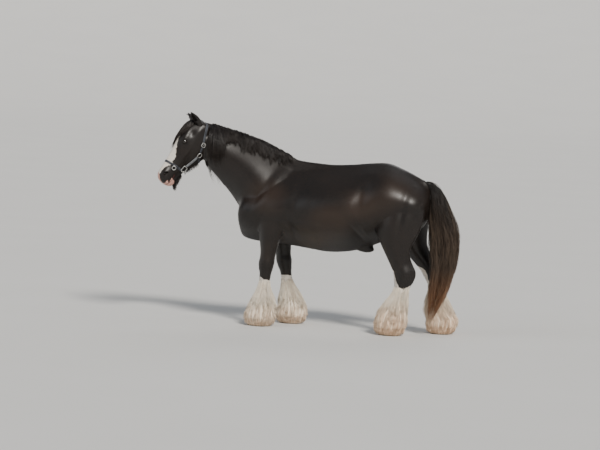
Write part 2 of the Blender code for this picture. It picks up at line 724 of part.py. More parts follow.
def strand(way, across, wide, deep, taper=(0.72, 1.00, 1.00, 0.84, 0.56)):
    """A flat lock along a way of points: broad underneath, ridged outside, narrowing to a tip.

    The ridge stands on the side that a turn from along to across gives, and no point is below
    the hair's floor.
    """
    way = np.asarray(way, float)
    broad = np.asarray(across, float)
    last = len(way) - 1
    points = []
    for k in range(last):
        ahead = unit(way[k + 1] - way[max(k - 1, 0)])
        broad = unit(broad - ahead * np.dot(broad, ahead))
        up = np.cross(ahead, broad)
        size = np.interp(k / last, np.linspace(0, 1, len(taper) + 1)[:-1], taper)
        half = broad * wide * size / 2
        points += [way[k] + half, way[k] + up * deep * size, way[k] - half]
    faces = [(0, 2, 1)]
    for k in range(last - 1):
        for j in range(3):
            a, b = 3 * k + j, 3 * k + (j + 1) % 3
            faces += [(a, b, b + 3), (a, b + 3, a + 3)]
    end = 3 * (last - 1)
    faces += [(end + j, end + (j + 1) % 3, len(points)) for j in range(3)]
    points = [(x, y, max(z, HAIR_FLOOR)) for x, y, z in points + [way[last]]]
    return facing_out(points, faces)


def laid(tree, start, heading, length, steps, lift, fall, sink=0.014, hug=0.0):
    """A lock's way: out of the surface at start, then along it while its weight turns it down.

    It never comes nearer than lift, and hug is how much it is drawn back when it stands off.
    """
    near, normal = tree.find_nearest(Vector(start))[:2]
    near, normal = np.array(near), np.array(normal)
    ahead = unit(np.asarray(heading, float) + normal * 0.25)
    way = [near - normal * sink, near + normal * lift * 0.7]
    across = unit(np.cross(normal, ahead))
    for k in range(steps):
        ahead = unit(ahead + np.array((0, 0, -fall / steps)))
        point = way[-1] + ahead * length / steps
        foot, out = tree.find_nearest(Vector(point))[:2]
        foot, out = np.array(foot), np.array(out)
        above = np.dot(point - foot, out)
        point = point + out * (lift - above) * (1.0 if above < lift else hug)
        ahead = unit(point - way[-1])
        way.append(point)
    return way, across


def crest_spot(tree, x, aside):
    """A spot on the crest of the neck, by its x before the neck's turn."""
    above = bent([(x, aside, 2.4)])[0]
    return np.array(tree.ray_cast(Vector(above), Vector((0, 0, -1)))[0])


def lie(x, side, backwards):
    """The way the mane lies over the neck at an x before the neck's turn."""
    aside = unit(bent([(x, 1.0, 0.0)])[0] - bent([(x, 0.0, 0.0)])[0])
    return aside * side * 0.85 + np.cross(aside, (0, 0, 1)) * backwards - np.array((0, 0, 0.35))


# Wisps of the mane beside the poll: x before the neck's turn, offset, length, lean, side
WISPS = (
    (-0.846, 0.020, 0.58, -0.14, 1),
    (-0.806, 0.024, 0.48, -0.04, 1),
    (-0.846, -0.022, 0.36, -0.06, -1),
    (-0.808, -0.024, 0.30, 0.04, -1),
)


def mane_locks(tree, rng):
    """The short near side of the mane, the long far side, and wisps that hang past the throat."""
    made = []
    for k in range(12):
        x = -0.818 + 0.652 * (k + rng.uniform(-0.2, 0.2)) / 11
        spot = crest_spot(tree, x, -0.014)
        heading = lie(x, -1, rng.uniform(0.10, 0.40))
        size = rng.uniform(0.110, 0.175) * (0.75 if k > 10 else 1.0)
        way, across = laid(tree, spot, heading, size, 4, rng.uniform(0.010, 0.015), 1.1, hug=0.8)
        made.append(strand(way, across, rng.uniform(0.098, 0.116), 0.015))
    for k in range(9):
        x = -0.806 + 0.640 * (k + rng.uniform(-0.2, 0.2)) / 8
        spot = crest_spot(tree, x, 0.014)
        heading = lie(x, 1, rng.uniform(-0.05, 0.25))
        size = rng.uniform(0.27, 0.38) * (0.7 if k > 7 else 1.0)
        way, across = laid(tree, spot, heading, size, 5, rng.uniform(0.010, 0.016), 1.4, hug=0.7)
        made.append(strand(way, across, rng.uniform(0.118, 0.140), 0.017))
    for x, aside, size, lean, side in WISPS:
        heading = lie(x, side, lean)
        way, across = laid(tree, crest_spot(tree, x, aside), heading, size, 5, 0.028, 2.2, hug=0.3)
        made.append(strand(way, across, rng.uniform(0.040, 0.050), 0.014))
    return made


# Forelock: where each lock starts down the face and to the side, its length, and its drift
FORELOCK = (
    (0.042, -0.034, 0.14, -0.10),
    (0.024, -0.018, 0.22, -0.04),
    (0.004, -0.004, 0.30, 0.08),
    (0.004, 0.008, 0.37, 0.14),
    (0.020, 0.020, 0.37, 0.16),
    (0.040, 0.032, 0.34, 0.20),
    (0.046, 0.042, 0.26, 0.26),
)
# Hair under the chin and jaw: (t, q), side and length
BEARD = (
    ((0.590, -0.158), 0.010, 0.055),
    ((0.575, -0.172), -0.012, 0.085),
    ((0.556, -0.176), 0.010, 0.090),
    ((0.534, -0.176), -0.006, 0.070),
    ((0.512, -0.176), 0.010, 0.055),
    ((0.488, -0.180), -0.008, 0.045),
    ((0.390, -0.205), -0.010, 0.040),
    ((0.350, -0.222), 0.008, 0.045),
)


def head_locks(tree, rng):
    made = []
    down = head_at(0.2, 0.05, 0.0) - head_at(0.1, 0.05, 0.0)
    aside = head_at(0.2, 0.05, 0.1) - head_at(0.2, 0.05, 0.0)
    for t, y, size, drift in FORELOCK:
        heading = unit(down) + unit(aside) * drift
        lift = rng.uniform(0.006, 0.011)
        way, across = laid(tree, head_at(t, 0.036, y), heading, size, 5, lift, 0.0, 0.012, 1.0)
        made.append(strand(way, across, rng.uniform(0.040, 0.050), 0.012))
    for (t, q), y, size in BEARD:
        way, across = laid(tree, head_at(t, q, y), (0.25, 0.05, -1), size, 3, 0.006, 0.6, 0.010)
        made.append(strand(way, across, rng.uniform(0.026, 0.036), 0.012))
    return made


def bell_spot(name, z, angle, scale):
    """A spot on the feather's outline round a leg: its height, turn from the back, and reach."""
    rows = FORE_BELL if name.endswith("fore") else HIND_BELL
    heights = [r[0][1] for r in rows][::-1]
    front, back, side = (
        np.interp(z, heights, [v for v in values][::-1])
        for values in ([r[0][0] for r in rows], [r[1][0] for r in rows], [r[2][1] for r in rows])
    )
    sway, middle = leg_sway(name, z)
    x = FEET[name][0] + sway + (front + back) / 2
    reach = (back - front) / 2 * scale
    return np.array((x + reach * math.cos(angle), middle + side * math.sin(angle) * scale, z))


# Tiers of feather: count, heights of the roots and of the tips, width and depth of a lock
FEATHER = (
    (4, (0.395, 0.345), (0.210, 0.150), 0.082, 0.014),
    (5, (0.285, 0.235), (0.105, 0.060), 0.116, 0.016),
    (6, (0.175, 0.150), (0.030, 0.010), 0.132, 0.018),
)


# How far out from the leg to the bell a lock's points stand, from its root to its tip
FEATHER_SPREAD = (-0.10, 0.50, 0.88, 0.93)


def feather_locks(name, tree, rng):
    """Locks of feather in tiers round a lower leg, each from the leg out to the bell's outline."""
    made = []
    for tier, (count, roots, tips, wide, deep) in enumerate(FEATHER):
        for k in range(count):
            angle = 2 * math.pi * (k + 0.5 * (tier % 2) + rng.uniform(-0.15, 0.15)) / count
            high, low = rng.uniform(*sorted(roots)), rng.uniform(*sorted(tips))
            way = []
            for j in range(len(FEATHER_SPREAD)):
                u = j / (len(FEATHER_SPREAD) - 1)
                z = high + (low - high) * u
                turn = angle + rng.uniform(-0.05, 0.05)
                rim = bell_spot(name, z, turn, 1.0)
                core = bell_spot(name, z, turn, 0.0)
                hit = tree.ray_cast(Vector(rim + (rim - core)), Vector(unit(core - rim)))[0]
                skin = np.array(hit) if hit else core
                point = skin + (rim - skin) * FEATHER_SPREAD[j]
                if j == 0:
                    point = skin - unit(rim - core) * 0.010
                way.append(point)
            across = (-math.sin(angle), math.cos(angle), 0.0)
            made.append(strand(way, across, wide * rng.uniform(0.9, 1.1), deep))
    return made


def feather_core(name):
    """The dense inner feather: half as far out as the locks."""
    rings = []
    for z in (0.385, 0.300, 0.220, 0.150, 0.104):
        rings.append([bell_spot(name, z, 2 * math.pi * k / 10, 0.66) for k in range(10)])
    return facing_out(*loft(rings))


# Tail: how far down it the dock's solid core reaches, and its locks
TAIL_CORE = 0.50
TAIL_LOCKS = 16
TAIL_RINGS = 22
TAIL_SIDES = 12
TAIL_CLEAR = 0.022
TAIL_SEAT = 0.001
# How far out from the tail's middle line a lock's points stand, from its root to its tip
TAIL_SPREAD = (0.30, 0.76, 0.90, 0.84, 0.50)


def tail_frame(u):
    """Middle of the tail at a share of its length, and its half extents front to back and aside."""
    flat = [(*t, *b, *w, n, m) for (t, b, w, n), m in zip(TAIL, TAIL_ASIDE)]
    row = through(flat, 101)[int(round(u * 100))]
    front, back = row[0:2], row[2:4]
    middle, half = (front + back) / 2, (back - front) / 2
    return np.array((middle[0], row[8], middle[1])), np.array((half[0], 0, half[1])), row[5]


def tail_spot(u, angle, scale):
    middle, half, side = tail_frame(min(max(u, 0.0), 1.0))
    return middle + (half * math.cos(angle) + np.array((0, side, 0)) * math.sin(angle)) * scale


def tail_locks(tree, rng):
    """Locks round the tail, from its core out along its outline to tips at different heights."""
    made = []
    for k in range(TAIL_LOCKS):
        angle = 2 * math.pi * k * 0.381966
        root = 0.14 + 0.36 * (k % 11) / 10
        tip = min(1.0, root + rng.uniform(0.42, 0.56))
        if k % 4 == 0:
            root, tip = 0.46, 1.0
        way = []
        for j, spread in enumerate(TAIL_SPREAD):
            u = root + (tip - root) * j / (len(TAIL_SPREAD) - 1)
            scale = spread + rng.uniform(-0.03, 0.03)
            point = tail_spot(u, angle + rng.uniform(-0.12, 0.12), scale)
            foot, out = tree.find_nearest(Vector(point))[:2]
            if j and np.dot(point - np.array(foot), np.array(out)) < TAIL_CLEAR:
                point = np.array(foot) + np.array(out) * TAIL_CLEAR
            way.append(point)
        across = np.cross(tail_spot(root, angle, 1.0) - tail_frame(root)[0], way[2] - way[1])
        made.append(strand(way, across, rng.uniform(0.085, 0.105), 0.020))
    return made


def tail_rings():
    """Sections of the tail from its root to its tip."""
    flat = [(*t, *b, *w, n, m) for (t, b, w, n), m in zip(TAIL, TAIL_ASIDE)]
    rows = through(flat, TAIL_RINGS)
    return [section(row[0:2], row[2:4], row[8], row[4:7], row[7], TAIL_SIDES) for row in rows]


def hair(nodes, tree):
    """Mane, forelock, beard, tail and feather, as locks fused to the nodes they grow from."""
    rng = random.Random(11)
    for name, locks in (("neck", mane_locks), ("head", head_locks)):
        bare = tree_from(nodes[name])
        hair_thinned(fused(nodes[name], locks(tree, rng), "MANIFOLD"), bare)
    for name in FEET:
        node = nodes[name + "_lower_leg"]
        own = tree_from(node)
        fused(node, [feather_core(name)] + feather_locks(name, own, rng), "MANIFOLD")
        cut(hair_thinned(node, own), grown_hoof(name))
    core = tail_rings()
    core = core[: int(len(core) * TAIL_CORE) + 1]
    thin = []
    for k, ring in enumerate(core):
        middle = np.mean(ring, axis=0)
        share = np.interp(k / (len(core) - 1), (0, 0.25, 1.0), (1.0, 0.80, 0.35))
        thin.append([middle + (np.array(p) - middle) * share for p in ring])
    tail = solid("tail", facing_out(*loft(thin)))
    seat = [middle_out(ring, 2 * GAP) for ring in thin]
    seat = [[p - np.array((TAIL_SEAT, 0, 0)) for p in seat[0]]] + seat
    cut(nodes["torso"], facing_out(*loft(seat)))
    own = tree_from(tail)
    nodes["tail"] = hair_thinned(fused(tail, tail_locks(tree, rng), "MANIFOLD"), own)


def middle_out(ring, grow):
    """A ring whose points are moved away from its middle."""
    middle = np.mean(ring, axis=0)
    return [np.array(p) + unit(np.array(p) - middle) * grow for p in ring]


# Eyes and ears in the head's own frame
EYE = (0.225, -0.004)
EYE_TURN = 22
EAR_ROOT = (0.012, -0.006, 0.058)
EAR_TIPS = {"near": (-0.022, 0.112, 0.084), "far": (-0.040, 0.052, 0.140)}
EAR_ROWS = [
    (-0.30, 0.030, 0.027),
    (0.00, 0.032, 0.028),
    (0.20, 0.031, 0.027),
    (0.38, 0.030, 0.024),
    (0.58, 0.025, 0.019),
    (0.78, 0.016, 0.012),
    (0.93, 0.007, 0.006),
    (1.00, 0.002, 0.002),
]
EAR_STUB = 0.20
# How deep in the lids' opening starts and how far out it reaches
LID_DEPTH = 0.004
SLOT_REACH = 0.05
# A point this far to the side lies well outside the head
OUTSIDE = 0.3
# Nostril's (t, q) and its radii inwards, down and across; the mouth's line: t, q and height
NOSTRIL = (0.548, -0.014)
NOSTRIL_RADII = (0.020, 0.020, 0.0105)
MOUTH = (
    (0.518, -0.112, 0.0010),
    (0.560, -0.116, 0.0030),
    (0.600, -0.108, 0.0044),
    (0.660, -0.088, 0.0060),
)


def side_sign(name):
    return -1 if name.startswith("near") else 1


def oval(centre, wide, deep, sides):
    ring = []
    for k in range(sides):
        angle = 2 * math.pi * k / sides
        ring.append(centre + wide * math.cos(angle) + deep * math.sin(angle))
    return ring


def ear_shapes(name):
    """The ear's stub on the head, the ear above it, and the cup cut into the ear."""
    side = side_sign(name)
    t, q, y = EAR_ROOT
    root = head_at(t, q, y * side)
    t, q, y = EAR_TIPS[name]
    tip = head_at(t, q, y * side)
    axis = tip - root
    outward = head_at(EAR_ROOT[0], EAR_ROOT[1], 0.2 * side) - root
    ahead = head_at(EAR_ROOT[0] + 0.1, EAR_ROOT[1] + 0.05, EAR_ROOT[2] * side) - root
    front = unit(outward) * 0.55 + unit(ahead)
    front = unit(front - unit(axis) * np.dot(front, unit(axis)))
    across = np.cross(unit(axis), front)
    stub, ear, cup = [], [], []
    for s, wide, deep in EAR_ROWS:
        centre = root + axis * s
        ring = oval(centre, across * wide, front * deep, 12)
        if s <= EAR_STUB:
            stub.append(ring)
        if s >= EAR_STUB:
            step = unit(axis) * GAP if s == EAR_STUB else 0
            ear.append([p + step for p in ring])
        if EAR_STUB < s < 0.95:
            cup.append(oval(centre + front * deep * 0.75, across * wide * 0.72, front * deep * 1.05, 10))
    return [facing_out(*loft(rings)) for rings in (stub, ear, cup)]


def eye_place(tree, name):
    """Middle of the eye, and the axes outward, along the lids and across them."""
    side = side_sign(name)
    inner = head_at(*EYE, 0.0)
    outer = head_at(*EYE, OUTSIDE * side)
    out = unit(outer - inner)
    hit = tree.ray_cast(Vector(outer), Vector(-out))[0]
    down = unit(head_at(EYE[0] + 0.1, EYE[1], 0.0) - inner)
    ahead = unit(head_at(EYE[0], EYE[1] + 0.1, 0.0) - inner)
    look = unit(out + ahead * 0.22 + down * 0.06)
    turn = math.radians(EYE_TURN)
    along = down * math.cos(turn) + ahead * math.sin(turn)
    along = unit(along - look * np.dot(along, look))
    return np.array(hit) - out * (EYE_RADIUS - 0.005), look, along, np.cross(look, along)


def almond(centre, look, along, across, low, high):
    """A closed almond prism along the eye's look: the opening between the lids."""
    rings = []
    for depth in (low, high):
        ring = []
        for k in range(14):
            angle = 2 * math.pi * k / 14
            wide = 0.0175 * math.cos(angle)
            tall = 0.0112 * math.sin(angle) * abs(math.sin(angle)) ** 0.35
            ring.append(centre + look * depth + along * wide + across * tall)
        rings.append(ring)
    return facing_out(*loft(rings))


def head_features(nodes):
    """Ears, eyes in their sockets with lids, nostrils and the line of the mouth."""
    head = nodes["head"]
    tree = tree_from(head)
    for name in ("near", "far"):
        stub, ear, cup = ear_shapes(name)
        centre, look, along, across = eye_place(tree, name)
        axes = np.array((look, along, across))
        lids = ball(centre, axes * (EYE_RADIUS + LID), (14, 8))
        fused(head, [stub, lids], "MANIFOLD")
        cut(head, almond(centre, look, along, across, LID_DEPTH, SLOT_REACH), "MANIFOLD")
        cut(head, ball(centre, axes * (EYE_RADIUS + GAP), EYE_STEPS), "MANIFOLD")
        eye = ball(centre, axes * EYE_RADIUS, EYE_STEPS)
        nodes[name + "_eye"] = solid(name + "_eye", eye)
        nodes[name + "_ear"] = cut(solid(name + "_ear", ear), cup)
        side = side_sign(name)
        t, q = NOSTRIL
        spot = head_at(t, q, OUTSIDE * side)
        aim = unit(head_at(t, q - 0.016, 0.0) - spot)
        hit = np.array(tree.ray_cast(Vector(spot), Vector(aim))[0])
        down = unit(head_at(0.60, 0.010, 0.0) - head_at(t, q, 0.0))
        deep, tall, wide = NOSTRIL_RADII
        nostril = ball(hit, (aim * deep, down * tall, np.cross(aim, down) * wide), (12, 8))
        cut(head, nostril, "MANIFOLD")
    slit = []
    for t, q, tall in MOUTH:
        up = np.array(head_at(t, q + tall / 2, 0.0)), np.array(head_at(t, q - tall / 2, 0.0))
        aside = head_at(t, q, 0.09) - head_at(t, q, 0.0)
        slit.append([up[0] - aside, up[0] + aside, up[1] + aside, up[1] - aside])
    cut(head, facing_out(*loft(slit)), "MANIFOLD")


def surface_band(tree, samples, width, lift=STRAP_LIFT, depth=STRAP_DEPTH, closed=False):
    """A strap on a surface: samples are (outside point, inside point, edge direction)."""
    hits, outs = [], []
    for outside, inside, edge in samples:
        for s in (-0.5, 0.5):
            start = np.asarray(outside) + np.asarray(edge) * width * s
            end = np.asarray(inside) + np.asarray(edge) * width * s
            hit, normal = tree.ray_cast(Vector(start), Vector(unit(end - start)))[:2]
            hits.append(np.array(hit))
            outs.append(np.array(normal))
    hits = np.array(hits).reshape(-1, 2, 3)
    outs = np.array(outs).reshape(-1, 2, 3)
    for _ in range(3):
        before, after = np.roll(outs, 1, axis=0), np.roll(outs, -1, axis=0)
        if not closed:
            before[0], after[-1] = outs[0], outs[-1]
        outs = before + 2 * outs + after
        outs /= np.linalg.norm(outs, axis=2, keepdims=True)
    feet = hits + outs * lift
    tops = hits + outs * (lift + depth)
    rings = [[f[0], f[1], t[1], t[0]] for f, t in zip(feet, tops)]
    return facing_out(*loft(rings, closed))


def side_samples(path, side, count):
    """Samples of a strap down the side of the head through (t, q) points."""
    rows = through(path, count)
    samples = []
    for k, (t, q) in enumerate(rows):
        ahead = rows[min(k + 1, count - 1)] - rows[max(k - 1, 0)]
        low, high = head_at(t + ahead[1], q - ahead[0], 0.0), head_at(t - ahead[1], q + ahead[0], 0.0)
        across = unit(high - low)
        samples.append((head_at(t, q, OUTSIDE * side), head_at(t, q, 0.0), across))
    return samples


def loop_samples(middle, reach, low, high, count, sway=(0.0, 0.0)):
    """Samples of a strap round the head in the plane of Y and a reach in (t, q).

    Angles in degrees run from low to high, with 0 along the reach and 90 on the far side.
    """
    samples = []
    for k in range(count):
        angle = math.radians(low + (high - low) * k / (count if high - low >= 360 else count - 1))
        t = middle[0] + reach[0] * math.cos(angle) * OUTSIDE + sway[0] * math.cos(angle)
        q = middle[1] + reach[1] * math.cos(angle) * OUTSIDE + sway[1] * math.cos(angle)
        centre = np.array(head_spot(middle[0], middle[1], 0.0))
        out = np.array(head_spot(t, q, OUTSIDE * math.sin(angle)))
        ahead = np.array(head_spot(middle[0] + reach[0], middle[1] + reach[1], 0)) - centre
        edge = np.cross(unit(ahead), (0, 1, 0))
        start, end, tilt = bent([out, centre, centre + edge * 0.01])
        samples.append((start, end, unit(tilt - end)))
    return samples


def wire_ring(tree, spot, side, size, wire, power, clear):
    """A metal ring lying over the straps at a (t, q) spot of the head's side."""
    outer, inner = head_at(*spot, OUTSIDE * side), head_at(*spot, 0.0)
    hit, normal = tree.ray_cast(Vector(outer), Vector(unit(inner - outer)))[:2]
    normal = np.array(normal)
    down = unit(head_at(spot[0] + 0.1, spot[1], 0.0) - inner)
    down = unit(down - normal * np.dot(down, normal))
    across = np.cross(normal, down)
    centre = np.array(hit) + normal * clear
    rings = []
    for k in range(RING_STEPS):
        angle = 2 * math.pi * k / RING_STEPS
        a = math.copysign(abs(math.cos(angle)) ** (2 / power), math.cos(angle))
        b = math.copysign(abs(math.sin(angle)) ** (2 / power), math.sin(angle))
        out = unit(down * a + across * b)
        middle = centre + (down * a + across * b) * (size - wire) / 2
        turns = np.linspace(0, 2 * math.pi, WIRE_SIDES + 1)[:-1]
        rings.append([middle + (out * math.cos(w) + normal * math.sin(w)) * wire / 2 for w in turns])
    return facing_out(*loft(rings, closed=True))


# Spots of the headcollar in the head's own (t, q)
NOSE_RING = (0.420, -0.146)
CHEEK_RING = (0.240, -0.186)
CROWN_BUCKLE = (0.150, -0.160)
NOSE_BUCKLE = (0.470, -0.062)


def headcollar(nodes, tree):
    """Straps and rings of the headcollar, lying just off the head."""
    made = {}
    nose = loop_samples((0.447, -0.075), (0.0, 1.0), 0, 360, 30, sway=(0.019, 0.0))
    made["noseband"] = surface_band(tree, nose, 0.020, closed=True)
    crown = loop_samples(CROWN_BUCKLE, (-0.936, 0.352), -77, 77, 25)
    throat = loop_samples(CHEEK_RING, (0.63, -0.78), -70, 70, 19)
    made["crown_strap"] = surface_band(tree, crown, 0.022)
    made["throat_strap"] = surface_band(tree, throat, 0.020)
    for name in ("near", "far"):
        side = side_sign(name)
        low = side_samples([(0.400, -0.151), (0.330, -0.172), (0.263, -0.1835)], side, 12)
        high = side_samples([(0.220, -0.180), (0.196, -0.173), (0.170, -0.166)], side, 5)
        made[name + "_cheek_strap"] = surface_band(tree, low, 0.020)
        made[name + "_jowl_strap"] = surface_band(tree, high, 0.020)
        made[name + "_nose_ring"] = wire_ring(tree, NOSE_RING, side, 0.060, 0.008, 6, 0.0135)
        made[name + "_cheek_ring"] = wire_ring(tree, CHEEK_RING, side, 0.048, 0.006, 2, 0.0112)
        made[name + "_crown_buckle"] = wire_ring(tree, CROWN_BUCKLE, side, 0.042, 0.006, 4, 0.0117)
    made["nose_buckle"] = wire_ring(tree, NOSE_BUCKLE, -1, 0.040, 0.006, 2, 0.0140)
    for name, shape in made.items():
        nodes[name] = solid(name, shape)


def centred(nodes):
    """Moves everything so that the middle of the whole is at x = y = 0."""
    points = np.array([v.co for node in nodes.values() for v in node.data.vertices])
    middle = (points.min(axis=0) + points.max(axis=0)) / 2
    for node in nodes.values():
        node.data.transform(Matrix.Translation((-middle[0], -middle[1], 0)))
        node.data.update()


def main():
    clear_scene()
    coat = material("coat", (0.012, 0.010, 0.010), 0.4)
    white = material("white", (0.75, 0.70, 0.62), 0.6)
    horn = material("horn", (0.10, 0.085, 0.07), 0.5)
    nodes, whole = body_nodes()
    bare = tree_from(nodes["head"])
    head_features(nodes)
    headcollar(nodes, bare)
    hair(nodes, whole)
    nodes.update(hooves())
    leather = material("strap", (0.05, 0.05, 0.06), 0.6)
    metal = material("steel", (0.55, 0.55, 0.56), 0.3, 1.0)
    glass = material("eye", (0.02, 0.012, 0.008), 0.08)
    for name, node in nodes.items():
        paint = coat
        for mark, choice in (
            ("lower", white),
            ("hoof", horn),
            ("strap", leather),
            ("noseband", leather),
            ("ring", metal),
            ("buckle", metal),
            ("eye", glass),
        ):
            if mark in name:
                paint = choice
        node.data.materials.clear()
        node.data.materials.append(paint)
    centred(nodes)


main()
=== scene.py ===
"""The look of the cob horse: one smooth skin with its markings, hair in tufts, and its headcollar.

Every shape is made here from the same named lines as the solids, in their maker's own frame,
and then carried to where the solids stand.
"""

import json
import math

import bmesh
import bpy
import numpy as np
from mathutils import Matrix, Vector
from mathutils.bvhtree import BVHTree

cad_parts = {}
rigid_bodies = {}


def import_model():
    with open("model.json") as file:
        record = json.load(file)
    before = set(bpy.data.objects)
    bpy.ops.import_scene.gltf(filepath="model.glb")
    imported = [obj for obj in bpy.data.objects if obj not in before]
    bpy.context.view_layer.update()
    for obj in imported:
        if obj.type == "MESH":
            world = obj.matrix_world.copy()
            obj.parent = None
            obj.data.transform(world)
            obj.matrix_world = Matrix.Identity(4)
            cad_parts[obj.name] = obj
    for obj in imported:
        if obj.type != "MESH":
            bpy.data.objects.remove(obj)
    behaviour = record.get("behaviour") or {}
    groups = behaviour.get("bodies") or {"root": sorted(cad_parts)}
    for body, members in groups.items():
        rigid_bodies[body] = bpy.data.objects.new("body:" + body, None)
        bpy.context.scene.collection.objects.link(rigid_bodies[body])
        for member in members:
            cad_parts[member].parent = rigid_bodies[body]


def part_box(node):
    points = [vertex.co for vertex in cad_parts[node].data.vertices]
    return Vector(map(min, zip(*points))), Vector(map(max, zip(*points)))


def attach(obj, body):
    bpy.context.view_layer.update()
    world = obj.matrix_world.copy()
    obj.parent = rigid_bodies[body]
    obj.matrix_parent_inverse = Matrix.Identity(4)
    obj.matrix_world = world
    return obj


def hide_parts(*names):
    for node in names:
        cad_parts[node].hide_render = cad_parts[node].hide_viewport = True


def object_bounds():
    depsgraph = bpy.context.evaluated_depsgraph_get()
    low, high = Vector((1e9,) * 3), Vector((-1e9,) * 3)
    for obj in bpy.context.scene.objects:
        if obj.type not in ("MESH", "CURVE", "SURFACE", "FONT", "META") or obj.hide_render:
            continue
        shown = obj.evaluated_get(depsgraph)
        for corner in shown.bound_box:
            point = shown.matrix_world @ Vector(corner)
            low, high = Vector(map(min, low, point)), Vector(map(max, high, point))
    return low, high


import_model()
FIRST_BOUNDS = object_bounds()
MADE = []


# The body's own lines, in the maker's frame: metres, the horse facing -X
GAP = 0.0003
CORONET = 0.095
EYE_RADIUS = 0.0215
LID = 0.0042
STRAP_LIFT = 0.0037
STRAP_DEPTH = 0.0030
# Where the neck starts to turn towards the near side, and the turn in degrees along it
BEND_START = -0.30
TURNS = ((0.0, 0.0), (0.30, 6.0), (0.50, 14.0), (0.72, 35.0), (1.40, 35.0))
# The head's own frame: t runs from the poll to the lips, q runs forward off the face
POLL = (-1.010, 1.775)
HEAD_LINE = (-0.56, -0.829)
# Each foot's own place: the x its leg's rows are measured from, and how far to the side
FEET = {
    "near_fore": (-0.305, -0.185),
    "far_fore": (-0.100, 0.185),
    "near_hind": (0.850, -0.195),
    "far_hind": (1.240, 0.195),
}
ELBOW_X = -0.275
HIP_X = 0.860
PASTERN = 0.13
FORE_TOP = 1.12
HIND_TOP = 1.24
THIGH_LEAN = 0.055
# Station rows: front or top point (x, z), back or bottom point (x, z), half widths near the
# top, at the middle and near the bottom, and the power of the rounded section.
TRUNK = [
    ((-0.575, 1.120), (-0.570, 0.860), (0.080, 0.120, 0.100), 2.0),
    ((-0.530, 1.215), (-0.545, 0.770), (0.145, 0.205, 0.175), 2.1),
    ((-0.410, 1.330), (-0.440, 0.735), (0.150, 0.250, 0.215), 2.2),
    ((-0.270, 1.415), (-0.290, 0.725), (0.145, 0.272, 0.220), 2.2),
    ((-0.120, 1.470), (-0.130, 0.715), (0.135, 0.288, 0.228), 2.2),
    ((0.050, 1.462), (0.050, 0.695), (0.180, 0.316, 0.252), 2.25),
    ((0.240, 1.452), (0.240, 0.676), (0.228, 0.345, 0.272), 2.3),
    ((0.420, 1.464), (0.420, 0.692), (0.244, 0.347, 0.267), 2.3),
    ((0.580, 1.484), (0.580, 0.735), (0.244, 0.325, 0.235), 2.3),
    ((0.740, 1.492), (0.730, 0.800), (0.240, 0.312, 0.210), 2.3),
    ((0.870, 1.450), (0.860, 0.850), (0.220, 0.300, 0.200), 2.3),
    ((0.990, 1.398), (0.970, 0.880), (0.180, 0.272, 0.190), 2.2),
    ((1.078, 1.350), (1.066, 0.940), (0.110, 0.205, 0.150), 2.0),
    ((1.125, 1.290), (1.118, 1.020), (0.050, 0.084, 0.062), 2.0),
]
NECK = [
    ((0.020, 1.450), (-0.400, 0.900), (0.080, 0.190, 0.190), 2.2),
    ((-0.110, 1.490), (-0.520, 0.950), (0.085, 0.200, 0.195), 2.2),
    ((-0.230, 1.545), (-0.595, 1.035), (0.088, 0.190, 0.180), 2.2),
    ((-0.370, 1.608), (-0.665, 1.125), (0.085, 0.165, 0.150), 2.2),
    ((-0.520, 1.660), (-0.735, 1.205), (0.080, 0.140, 0.122), 2.2),
    ((-0.670, 1.703), (-0.800, 1.280), (0.074, 0.120, 0.104), 2.2),
    ((-0.820, 1.738), (-0.865, 1.350), (0.070, 0.106, 0.094), 2.2),
    ((-0.945, 1.762), (-0.920, 1.420), (0.068, 0.096, 0.086), 2.2),
    ((-1.015, 1.740), (-0.975, 1.480), (0.055, 0.078, 0.070), 2.0),
]
# The head's rows are (t, q) pairs in the head's own frame
HEAD = [
    ((-0.035, -0.040), (-0.010, -0.150), (0.045, 0.055, 0.050), 2.0),
    ((-0.005, 0.008), (0.020, -0.220), (0.070, 0.080, 0.065), 2.2),
    ((0.060, 0.040), (0.090, -0.262), (0.084, 0.088, 0.070), 2.4),
    ((0.130, 0.050), (0.165, -0.272), (0.092, 0.090, 0.070), 2.5),
    ((0.210, 0.048), (0.240, -0.262), (0.090, 0.086, 0.062), 2.5),
    ((0.290, 0.038), (0.310, -0.235), (0.072, 0.075, 0.052), 2.5),
    ((0.370, 0.029), (0.385, -0.203), (0.058, 0.064, 0.044), 2.4),
    ((0.450, 0.022), (0.455, -0.178), (0.050, 0.056, 0.040), 2.4),
    ((0.510, 0.020), (0.515, -0.168), (0.050, 0.056, 0.040), 2.4),
    ((0.560, 0.018), (0.568, -0.166), (0.053, 0.059, 0.041), 2.4),
    ((0.595, 0.006), (0.602, -0.156), (0.052, 0.056, 0.040), 2.3),
    ((0.620, -0.018), (0.624, -0.132), (0.038, 0.044, 0.034), 2.1),
    ((0.630, -0.044), (0.632, -0.100), (0.018, 0.022, 0.018), 2.0),
]
